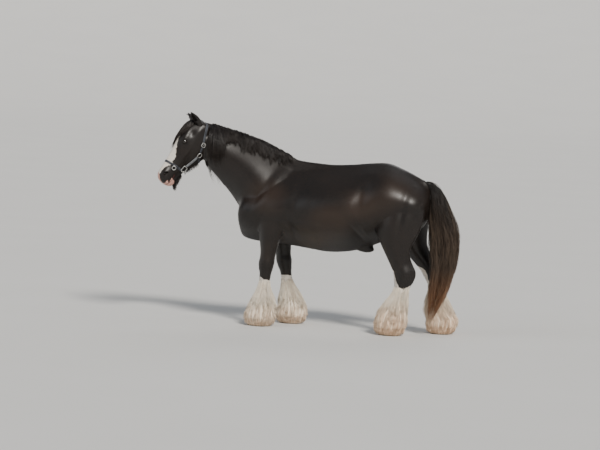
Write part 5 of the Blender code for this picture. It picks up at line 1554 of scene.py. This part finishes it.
def feather_under(name, tree, paint):
    """The feather's close inner hair, one fluted shell from the skin out to most of the bell."""
    rings, flute_shade = [], []
    for z in np.linspace(0.375, 0.005, 22):
        share = np.interp(z, (0.005, 0.03, 0.16, 0.30, 0.375), (0.72, 0.80, 0.80, 0.46, -0.06))
        ring = []
        for k in range(BELL_SIDES):
            turn = 2 * math.pi * k / BELL_SIDES
            rim, skin = rim_and_skin(name, tree, z, turn)
            flute = 0.05 * math.sin(23 * turn + 9 * z) + 0.04 * math.sin(41 * turn - 14 * z)
            ring.append(skin + (rim - skin) * (share + flute * max(share, 0.0)))
            # Painted shade: the tone is lower, so darker, in the hollows of the flutes and higher on their
            # ridges
            flute_shade.append(0.5 + 6 * flute)
        rings.append(ring)
    points, faces = facing_out(*loft(rings))
    shell = mesh_of(name + "_feather_under", points, faces)
    middle = bell_spot(name, 0.1, 0.0, 0.0)
    turns = np.arctan2(points[:, 1] - middle[1], points[:, 0] - middle[0])
    extra = len(points) - len(flute_shade)
    with_values(shell, "tone", np.clip(flute_shade + [0.5] * extra, 0, 1))
    uv_plain(shell, turns, points[:, 2])
    finish_piece(shell, paint)


def tail_spot(frames, u, angle, scale):
    row = frames[int(round(min(max(u, 0.0), 1.0) * TAIL_STEPS))]
    front, back = row[0:2], row[2:4]
    middle, half = (front + back) / 2, (back - front) / 2
    a, b = math.cos(angle) * scale, math.sin(angle) * scale
    return np.array((middle[0] + half[0] * a, row[8] + row[5] * b, middle[1] + half[1] * a))


def tail(tree, paint):
    rng = np.random.default_rng(61)
    frames = through([(*t, *b, *w, n, m) for (t, b, w, n), m in zip(TAIL, TAIL_ASIDE)], TAIL_STEPS + 1)
    rows = []
    for k in range(TAIL_TUFTS):
        angle = rng.uniform(0, 2 * math.pi)
        root = rng.uniform(0.02, 0.42) if k % 3 else rng.uniform(0.02, 0.20)
        tip = min(1.0, root + rng.uniform(0.38, 0.62))
        if k % 5 == 0:
            root, tip = rng.uniform(0.35, 0.5), rng.uniform(0.9, 1.0)
        depth = rng.uniform(0.35, 0.93) ** 0.6 if k % 9 else rng.uniform(0.90, 1.00)
        way = []
        curl, phase = rng.uniform(0.02, 0.14), rng.uniform(0, 6.28)
        for j, spread in enumerate(TAIL_SPREAD):
            u = root + (tip - root) * j / (len(TAIL_SPREAD) - 1)
            swing = curl * math.sin(9.0 * u + phase) * min(1.0, j / 3)
            point = tail_spot(frames, u, angle + 0.30 * math.sin(6 * u + k), spread * depth + swing)
            foot, out = nearest(tree, point)
            above = np.dot(point - foot, out)
            if j and above < TAIL_LIFT:
                point = point + out * (TAIL_LIFT - above)
            way.append(point)
        out = np.array((math.cos(angle), math.sin(angle), 0.2))
        rows.append((way, unit(out), (angle / (2 * math.pi), root / 0.55)))
    hair = gathered(rng, rows, 10, 0.016, 0.008, 0.013, 8, 0.0029, 0.62)
    hair_piece("tail_hair", *hair, "tail_hair", paint, ("tail",))
    tail_dock(frames, paint)


def tail_dock(frames, paint):
    """The flesh of the tail's root, under its hair."""
    picked = frames[0:90:6]
    rings = []
    for k, row in enumerate(picked):
        share = np.interp(k / (len(picked) - 1), (0, 0.12, 0.3, 1.0), (0.45, 0.74, 0.66, 0.25))
        middle, half = (row[0:2] + row[2:4]) / 2, (row[0:2] - row[2:4]) / 2
        ends = middle + half * share, middle - half * share
        rings.append(section(*ends, row[8], row[4:7] * share, row[7], 28))
    points, faces = facing_out(*loft(rings))
    dock = mesh_of("tail_dock", points, faces)
    with_values(dock, "along", np.zeros(len(points)))
    with_values(dock, "tone", np.full(len(points), 0.4))
    uv_plain(dock, points[:, 2], np.arctan2(points[:, 1], points[:, 0] - 1.14))
    finish_piece(dock, paint)


def uv_plain(obj, a, b):
    """A rolled-out map from two numbers for each vertex."""
    corners = corners_of(obj)
    both = [(v - v.min()) / (v.max() - v.min()) for v in (a, b)]
    set_uv(obj, np.stack([v[corners] for v in both], axis=1))


# Materials, with the colours of the mane's and the coat's hair at root, middle and tip
MANE_COLOURS = ((0.010, 0.008, 0.0075), (0.014, 0.011, 0.010), (0.034, 0.024, 0.018))
COAT_COLOURS = ((0.010, 0.0075, 0.0062), (0.016, 0.0115, 0.0090), (0.022, 0.0155, 0.0115))


class Nodes:
    """Short hand for building one material's nodes."""

    def __init__(self, name):
        self.made = bpy.data.materials.new(name)
        self.made.use_nodes = True
        self.tree = self.made.node_tree
        self.shader = self.tree.nodes["Principled BSDF"]

    def add(self, kind, **values):
        node = self.tree.nodes.new(kind)
        for key, value in values.items():
            setattr(node, key, value)
        return node

    def feed(self, socket, value):
        """A colour or number set on the socket itself, or another node's output led to it."""
        if isinstance(value, tuple):
            socket.default_value = (*value, 1.0)
        elif isinstance(value, float):
            socket.default_value = value
        else:
            self.tree.links.new(value, socket)

    def value(self, name):
        return self.add("ShaderNodeAttribute", attribute_name=name).outputs["Fac"]

    def height(self):
        split = self.add("ShaderNodeSeparateXYZ")
        self.feed(split.inputs["Vector"], self.add("ShaderNodeTexCoord").outputs["Object"])
        return split.outputs["Z"]

    def mixed(self, factor, a, b):
        """Colour a where the factor is 0, b where it is 1."""
        node = self.add("ShaderNodeMix", data_type="RGBA")
        for key, value in (("Factor", factor), (6, a), (7, b)):
            self.feed(node.inputs[key], value)
        return node.outputs[2]

    def noise(self, scale, detail=3.0, stretch=None, turn=(0.0, 0.0, 0.0)):
        where = self.add("ShaderNodeTexCoord").outputs["Object"]
        if stretch:
            mapping = self.add("ShaderNodeMapping")
            mapping.inputs["Scale"].default_value = stretch
            mapping.inputs["Rotation"].default_value = turn
            self.feed(mapping.inputs["Vector"], where)
            where = mapping.outputs["Vector"]
        node = self.add("ShaderNodeTexNoise")
        for key, value in (("Scale", scale), ("Detail", detail), ("Vector", where)):
            self.feed(node.inputs[key], value)
        return node.outputs["Fac"]

    def ramp(self, factor, low, high, to_low=0.0, to_high=1.0):
        """The factor spread from to_low at low to to_high at high."""
        node = self.add("ShaderNodeMapRange")
        ends = (("From Min", low), ("From Max", high), ("To Min", to_low), ("To Max", to_high))
        for key, value in (("Value", factor), *ends):
            self.feed(node.inputs[key], value)
        return node.outputs["Result"]

    def total(self, first, *shares):
        """A value with shares of others, each (value, share), added to it."""
        for value, share in shares:
            first = self.maths("MULTIPLY_ADD", value, share, first)
        return first

    def maths(self, operation, *values):
        node = self.add("ShaderNodeMath", operation=operation)
        for socket, value in zip(node.inputs, values):
            self.feed(socket, value)
        return node.outputs["Value"]

    def bump(self, factor, strength, distance):
        node = self.add("ShaderNodeBump")
        for key, value in (("Strength", strength), ("Distance", distance), ("Height", factor)):
            self.feed(node.inputs[key], value)
        self.feed(self.shader.inputs["Normal"], node.outputs["Normal"])

    def done(self, colour, roughness, **plain):
        self.feed(self.shader.inputs["Base Color"], colour)
        self.feed(self.shader.inputs["Roughness"], roughness)
        for key, value in plain.items():
            self.feed(self.shader.inputs[key.replace("_", " ")], value)
        return self.made


def coat_paint():
    m = Nodes("coat_skin")
    broad = m.ramp(m.noise(2.2, 2.0), 0.35, 0.70)
    fine = m.noise(1.0, 4.0, (42.0, 330.0, 330.0), (0.0, 0.45, 0.0))
    spots = m.noise(55.0, 3.0)
    hairs = m.noise(1.0, 2.0, (150.0, 1100.0, 1100.0), (0.0, 0.45, 0.0))
    black = m.mixed(broad, (0.0042, 0.0034, 0.0032), (0.0095, 0.0066, 0.0052))
    # Lighter brown coat: partly its own brown, partly painted sheen
    black = m.mixed(m.ramp(m.value("brown_and_sheen"), 0.15, 1.0), black, (0.0260, 0.0150, 0.0095))
    streak = m.mixed(m.ramp(fine, 0.40, 0.85), black, (0.0240, 0.0160, 0.0115))
    cream = m.mixed(m.ramp(fine, 0.3, 0.8), (0.62, 0.55, 0.47), (0.86, 0.81, 0.74))
    edge = m.total(m.value("white"), (m.noise(95.0, 4.0), 0.22), (hairs, 0.16))
    colour = m.mixed(m.ramp(edge, 0.655, 0.715), streak, cream)
    flesh = m.mixed(m.ramp(spots, 0.40, 0.62), (0.74, 0.44, 0.36), (0.58, 0.31, 0.25))
    patch = m.total(m.value("pink"), (spots, 0.40))
    colour = m.mixed(m.ramp(patch, 0.70, 0.80), colour, flesh)
    colour = m.mixed(m.value("mouth"), colour, (0.110, 0.030, 0.030))
    fold = m.noise(1.0, 3.0, (160.0, 160.0, 420.0))
    m.bump(m.total(fine, (hairs, 0.35), (fold, 0.25)), 0.34, 0.0016)
    shine = m.ramp(m.total(fine, (m.value("bare"), 0.10)), 0.2, 0.9, 0.30, 0.47)
    return m.done(colour, shine, Specular_IOR_Level=0.40)


def hair_paint(name, root, middle, tip, spread, roughness=0.42):
    """Hair whose colour runs from root to tip and varies from tuft to tuft."""
    m = Nodes(name)
    along = m.value("along")
    lower = m.mixed(m.ramp(along, 0.45, 1.0), middle, tip)
    colour = m.mixed(m.ramp(along, 0.0, 0.5), root, lower)
    pale = tuple(min(1.0, c * spread) for c in middle)
    colour = m.mixed(m.ramp(m.value("tone"), 0.45, 1.0), colour, pale)
    return m.done(colour, roughness, Specular_IOR_Level=0.5)


def tail_paint():
    """Tail hair: dark at the dock, brown on its way down and reddish at the ends."""
    m = Nodes("tail_strands")
    high = m.height()
    brown = m.mixed(m.ramp(m.value("tone"), 0.30, 0.95), (0.034, 0.023, 0.016), (0.165, 0.115, 0.078))
    red = m.mixed(m.ramp(m.value("tone"), 0.20, 0.90), (0.180, 0.082, 0.040), (0.560, 0.270, 0.130))
    lower = m.mixed(m.ramp(m.total(high, (m.value("tone"), 0.16)), 0.68, 0.22), brown, red)
    colour = m.mixed(m.ramp(high, 0.86, 1.30), lower, (0.011, 0.0085, 0.0075))
    return m.done(colour, 0.45, Specular_IOR_Level=0.5)


def feather_paint(name, stained, reach):
    """White feather, stained towards the ground by an amount and up to a height."""
    m = Nodes(name)
    high = m.total(m.height(), (m.noise(9.0, 3.0), -0.16))
    # On the strands the tone differs at random from tuft to tuft; on the inner shell it is painted shade in
    # the hollows of its flutes
    white = m.mixed(m.ramp(m.value("tone"), 0.10, 0.85), (0.86, 0.75, 0.60), (0.96, 0.89, 0.77))
    stain = m.mixed(m.ramp(m.value("tone"), 0.10, 0.90), (0.78, 0.52, 0.34), (0.95, 0.73, 0.52))
    amount = m.maths("MULTIPLY", m.ramp(high, reach, -0.06), stained)
    return m.done(m.mixed(amount, white, stain), 0.50, Specular_IOR_Level=0.4)


def horn_paint():
    m = Nodes("hoof_horn")
    rings = m.noise(1.0, 3.0, (9.0, 9.0, 170.0))
    colour = m.mixed(m.ramp(rings, 0.3, 0.7), (0.13, 0.10, 0.075), (0.27, 0.22, 0.17))
    m.bump(rings, 0.5, 0.0012)
    return m.done(colour, 0.5)


def strap_paint(name, dark, worn, thread):
    """Webbing with ribs across it, two rows of stitching and worn edges."""
    m = Nodes(name)
    run, edge = m.value("run"), m.value("edge")
    ribs = m.maths("SINE", m.maths("MULTIPLY", run, 2 * math.pi / RIB))
    weave = m.noise(1.0, 2.0, (900.0, 900.0, 900.0))
    off = m.maths("ABSOLUTE", m.maths("SUBTRACT", edge, 0.5))
    row = m.maths("LESS_THAN", m.maths("ABSOLUTE", m.maths("SUBTRACT", off, 0.36)), 0.030)
    dash = m.maths("LESS_THAN", m.maths("FRACT", m.maths("MULTIPLY", run, 1 / STITCH)), 0.62)
    stitch = m.maths("MULTIPLY", row, dash)
    wear = m.total(m.ramp(m.noise(26.0, 3.0), 0.35, 0.75), (m.ramp(off, 0.40, 0.50), 0.55))
    colour = m.mixed(stitch, m.mixed(wear, dark, worn), thread)
    m.bump(m.total(ribs, (weave, 0.5), (stitch, 2.0)), 0.5, 0.0004)
    return m.done(colour, 0.62, Specular_IOR_Level=0.4)


def steel_paint():
    m = Nodes("ring_steel")
    worn = m.noise(120.0, 3.0)
    colour = m.mixed(worn, (0.62, 0.61, 0.58), (0.80, 0.79, 0.77))
    return m.done(colour, m.ramp(worn, 0.0, 1.0, 0.22, 0.45), Metallic=1.0)


def eye_paint():
    """A dark brown iris round a wide pupil, from how far each vertex is off the eye's middle."""
    m = Nodes("eye_ball")
    iris = m.mixed(m.ramp(m.noise(900.0, 2.0), 0.3, 0.7), (0.020, 0.0085, 0.0045), (0.009, 0.0045, 0.003))
    ring = m.mixed(m.ramp(m.value("rim"), 0.80, 0.93), iris, (0.006, 0.005, 0.005))
    colour = m.mixed(m.ramp(m.value("pupil"), 0.95, 1.05), (0.0012, 0.0012, 0.0016), ring)
    return m.done(colour, 0.06, Specular_IOR_Level=0.7, Coat_Weight=1.0, Coat_Roughness=0.03)


# Eyes, hooves and headcollar
def eyeballs(paint):
    for name, (centre, look, along, across) in EYES.items():
        points, faces = ball(centre, np.array((along, across, look)) * EYE_RADIUS, (48, 32))
        rel = points - centre
        u, v = rel @ along, rel @ across
        eye = mesh_of(name + "_eyeball", points, faces)
        with_values(eye, "rim", np.hypot(u, v) / 0.0165)
        with_values(eye, "pupil", np.hypot(u / 0.0080, v / 0.0050))
        finish_piece(eye, paint, (name + "_eye",))


def fine_hooves(paint):
    for name, (x, y) in FEET.items():
        step = x if name.endswith("fore") else x + HOOF_HIND_STEP
        rows = [((tx + step, tz), (bx + step, bz), w, n) for (tx, tz), (bx, bz), w, n in HOOF]
        rings = []
        for row in through([(*t, *b, *w, n) for t, b, w, n in rows], 14):
            rings.append(section(row[0:2], row[2:4], y, row[4:7], row[7], 56))
        hoof = mesh_of(name + "_hoof_wall", *facing_out(*loft(rings)))
        finish_piece(hoof, paint, (name + "_hoof",))


def fine_band(tree, samples, width, closed):
    """A strap with rounded edges on the surface, from (outside, inside, edge direction)."""
    rows = []
    for outside, inside, edge in samples:
        for s in (-0.5, 0.0, 0.5):
            start, end = (np.asarray(v) + np.asarray(edge) * width * s for v in (outside, inside))
            rows.append(met(tree, start, end))
    hits, outs = np.array(rows).reshape(-1, 3, 2, 3).transpose(2, 0, 1, 3)
    for _ in range(10):
        before, after = np.roll(outs, 1, axis=0), np.roll(outs, -1, axis=0)
        low, high = np.roll(hits, 1, axis=0), np.roll(hits, -1, axis=0)
        if not closed:
            before[0], after[-1] = outs[0], outs[-1]
            low[0], high[-1] = hits[0], hits[-1]
        outs = before + 2 * outs + after
        outs /= np.linalg.norm(outs, axis=2, keepdims=True)
        hits = hits * 0.5 + (low + high) * 0.25
    rings = []
    for h, o in zip(hits, outs):
        edge = unit(h[2] - h[0])
        ring = []
        for place, rise in BAND:
            inset = BAND_CORNER if rise in (1.0, 0.0) and place != 1 else 0.0
            shift = edge * inset * (1 if place == 0 else -1)
            ring.append(h[place] + shift + o[place] * (STRAP_LIFT + STRAP_DEPTH * rise))
        rings.append(ring)
    return facing_out(*loft(rings, closed))


def fine_ring(tree, spot, side, size, wire, power, clear, bar=False):
    """A round or squared ring of wire over the straps; with a bar and tongue it is a buckle."""
    outer, inner = head_at(*spot, OUTSIDE * side), head_at(*spot, 0.0)
    hit, normal = met(tree, outer, inner)
    down = unit(head_at(spot[0] + 0.1, spot[1], 0.0) - inner)
    down = unit(down - normal * np.dot(down, normal))
    across = np.cross(normal, down)
    centre = hit + normal * clear
    reach = (size - wire) / 2
    rings = []
    for k in range(RING_TURNS):
        angle = 2 * math.pi * k / RING_TURNS
        a, b = (math.copysign(abs(v) ** (2 / power), v) for v in (math.cos(angle), math.sin(angle)))
        out = unit(down * a + across * b)
        rings.append(oval(centre + (down * a + across * b) * reach, out * wire / 2, normal * wire / 2, 12))
    shapes = [facing_out(*loft(rings, closed=True))]
    if bar:
        rod, tongue = [], []
        for u in np.linspace(0, 1, 7):
            middle = centre + across * reach * (2 * u - 1)
            rod.append(oval(middle, down * wire * 0.36, normal * wire * 0.36, 10))
            middle = centre - down * reach * u + normal * wire * (0.45 + 0.2 * math.sin(3 * u))
            tongue.append(oval(middle, across * wire * 0.3, normal * wire * 0.3, 10))
        shapes += [facing_out(*loft(rod)), facing_out(*loft(tongue))]
    return as_one(shapes)


def collar(tree, web, pale, steel):
    """The headcollar's straps and rings, each in the place of its solid."""
    nose = loop_samples((0.447, -0.075), (0.0, 1.0), 0, 360, 120, sway=(0.019, 0.0))
    crown = loop_samples(CROWN_BUCKLE, (-0.936, 0.352), -77, 77, 90)
    throat = loop_samples(CHEEK_RING, (0.63, -0.78), -70, 70, 70)
    bands = {"noseband": (nose, 0.020, web), "crown_strap": (crown, 0.022, web)}
    bands["throat_strap"] = (throat, 0.020, web)
    rings = {}
    for name in ("near", "far"):
        side = side_sign(name)
        bands[name + "_cheek_strap"] = (side_samples(CHEEK_PATH, side, 40), 0.020, pale)
        bands[name + "_jowl_strap"] = (side_samples(JOWL_PATH, side, 16), 0.020, web)
        for part, (spot, *rest) in RINGS.items():
            rings[f"{name}_{part}"] = fine_ring(tree, spot, side, *rest)
    rings["nose_buckle"] = fine_ring(tree, NOSE_BUCKLE, -1, 0.040, 0.006, 2, 0.0140)
    for name, (samples, width, paint) in bands.items():
        points, faces = fine_band(tree, samples, width, name == "noseband")
        piece = mesh_of(name + "_web", points, faces)
        sides = len(BAND)
        whole = len(points) // sides
        rest = np.zeros(len(points) - whole * sides)
        middles = points[: whole * sides].reshape(whole, sides, 3)[:, 3]
        steps = np.linalg.norm(np.diff(middles, axis=0), axis=1)
        run = np.repeat(np.append(0.0, np.cumsum(steps)), sides)
        with_values(piece, "edge", np.concatenate([np.tile(BAND_ACROSS, whole), rest + 0.5]))
        with_values(piece, "run", np.concatenate([run, rest]))
        finish_piece(piece, paint, (name,))
    for name, shape in rings.items():
        finish_piece(mesh_of(name + "_wire", *shape), steel, (name,))


def pale_floor():
    """A floor that rises far off into its own backdrop."""
    points = []
    for r in range(FLOOR_RINGS):
        far = FLOOR_REACH * (r + 1) / FLOOR_RINGS
        rise = FLOOR_RISE * (max(0.0, far - FLOOR_FLAT) / (FLOOR_REACH - FLOOR_FLAT)) ** 2
        for k in range(FLOOR_SIDES):
            turn = 2 * math.pi * k / FLOOR_SIDES
            points.append((far * math.cos(turn), far * math.sin(turn), rise))
    points.append((0, 0, 0))
    tris = [(len(points) - 1, k, (k + 1) % FLOOR_SIDES) for k in range(FLOOR_SIDES)]
    for r in range(FLOOR_RINGS - 1):
        for k in range(FLOOR_SIDES):
            a, b = r * FLOOR_SIDES + k, r * FLOOR_SIDES + (k + 1) % FLOOR_SIDES
            tris += [(a, a + FLOOR_SIDES, b + FLOOR_SIDES), (a, b + FLOOR_SIDES, b)]
    floor = mesh_of("floor", points, tris)
    m = Nodes("floor_pale")
    colour = m.mixed(m.noise(0.8, 3.0), (0.66, 0.655, 0.64), (0.70, 0.695, 0.68))
    floor.data.materials.append(m.done(colour, 0.95, Specular_IOR_Level=0.1))


def soft_light():
    world = bpy.data.worlds.new("studio")
    bpy.context.scene.world = world
    world.use_nodes = True
    light = world.node_tree.nodes["Background"].inputs
    light["Color"].default_value = (0.82, 0.88, 0.96, 1.0)
    light["Strength"].default_value = WORLD_LIGHT
    for name, way, width, power, colour in SUNS:
        light = bpy.data.lights.new(name, "SUN")
        light.energy = power
        light.angle = math.radians(width)
        light.color = colour
        lamp = bpy.data.objects.new(name, light)
        lamp.rotation_mode = "QUATERNION"
        lamp.rotation_quaternion = (-Vector(way)).to_track_quat("-Z", "Y")
        bpy.context.scene.collection.objects.link(lamp)


def photo_camera():
    camera = bpy.data.objects.new("camera", bpy.data.cameras.new("camera"))
    bpy.context.scene.collection.objects.link(camera)
    bpy.context.scene.camera = camera
    turn, rise = math.radians(CAMERA_AZIMUTH), math.radians(CAMERA_ELEVATION)
    flat = math.cos(rise)
    back = Vector((math.sin(turn) * flat, -math.cos(turn) * flat, math.sin(rise)))
    camera.location = Vector(CAMERA_TARGET) + back * CAMERA_DISTANCE
    camera.rotation_mode = "QUATERNION"
    roll = Matrix.Rotation(math.radians(CAMERA_ROLL), 4, "Z").to_quaternion()
    camera.rotation_quaternion = (-back).to_track_quat("-Z", "Y") @ roll
    camera.data.sensor_width = SENSOR
    camera.data.lens = SENSOR * CAMERA_DISTANCE * PIXELS_PER_METRE / PICTURE_WIDTH
    camera.data.clip_end = 300.0


def shift_of(name):
    """How far the solids stand from the maker's own frame, from where a hoof is."""
    low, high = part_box(name)
    points = np.concatenate([coords(obj) for obj in MADE if obj.name == name + "_wall"])
    middle = (points.min(axis=0) + points.max(axis=0)) / 2
    return (low.x + high.x) / 2 - middle[0], (low.y + high.y) / 2 - middle[1]


def build():
    skin = skin_shape()
    tree = tree_from(skin)
    head_done(skin)
    skin.data.shade_smooth()
    markings(skin)
    skin_uv(skin)
    skin.data.materials.clear()
    flesh = ["torso", "neck", "head", "near_ear", "far_ear"]
    flesh += [f"{foot}_{part}_leg" for foot in FEET for part in ("upper", "lower")]
    finish_piece(skin, coat_paint(), flesh)
    black = hair_paint("mane_strands", *MANE_COLOURS, 3.0)
    mane(tree, black)
    forelock(tree, black)
    rng = np.random.default_rng(47)
    beard(rng, tree, black)
    ear_hair(rng, black)
    short_coat(skin, hair_paint("coat_tufts", *COAT_COLOURS, 1.6))
    lashes(black)
    tail(tree, tail_paint())
    feathers(tree)
    eyeballs(eye_paint())
    fine_hooves(horn_paint())
    web = strap_paint("strap_web", (0.016, 0.018, 0.023), (0.060, 0.066, 0.080), (0.16, 0.16, 0.17))
    pale = strap_paint("strap_pale", (0.13, 0.14, 0.15), (0.30, 0.31, 0.33), (0.42, 0.42, 0.42))
    collar(tree, web, pale, steel_paint())


build()
SHIFT = shift_of("near_fore_hoof")
for piece in MADE:
    piece.data.transform(Matrix.Translation((SHIFT[0], SHIFT[1], 0)))
    set_coords(piece, np.clip(coords(piece), *FIRST_BOUNDS))
pale_floor()
soft_light()
photo_camera()
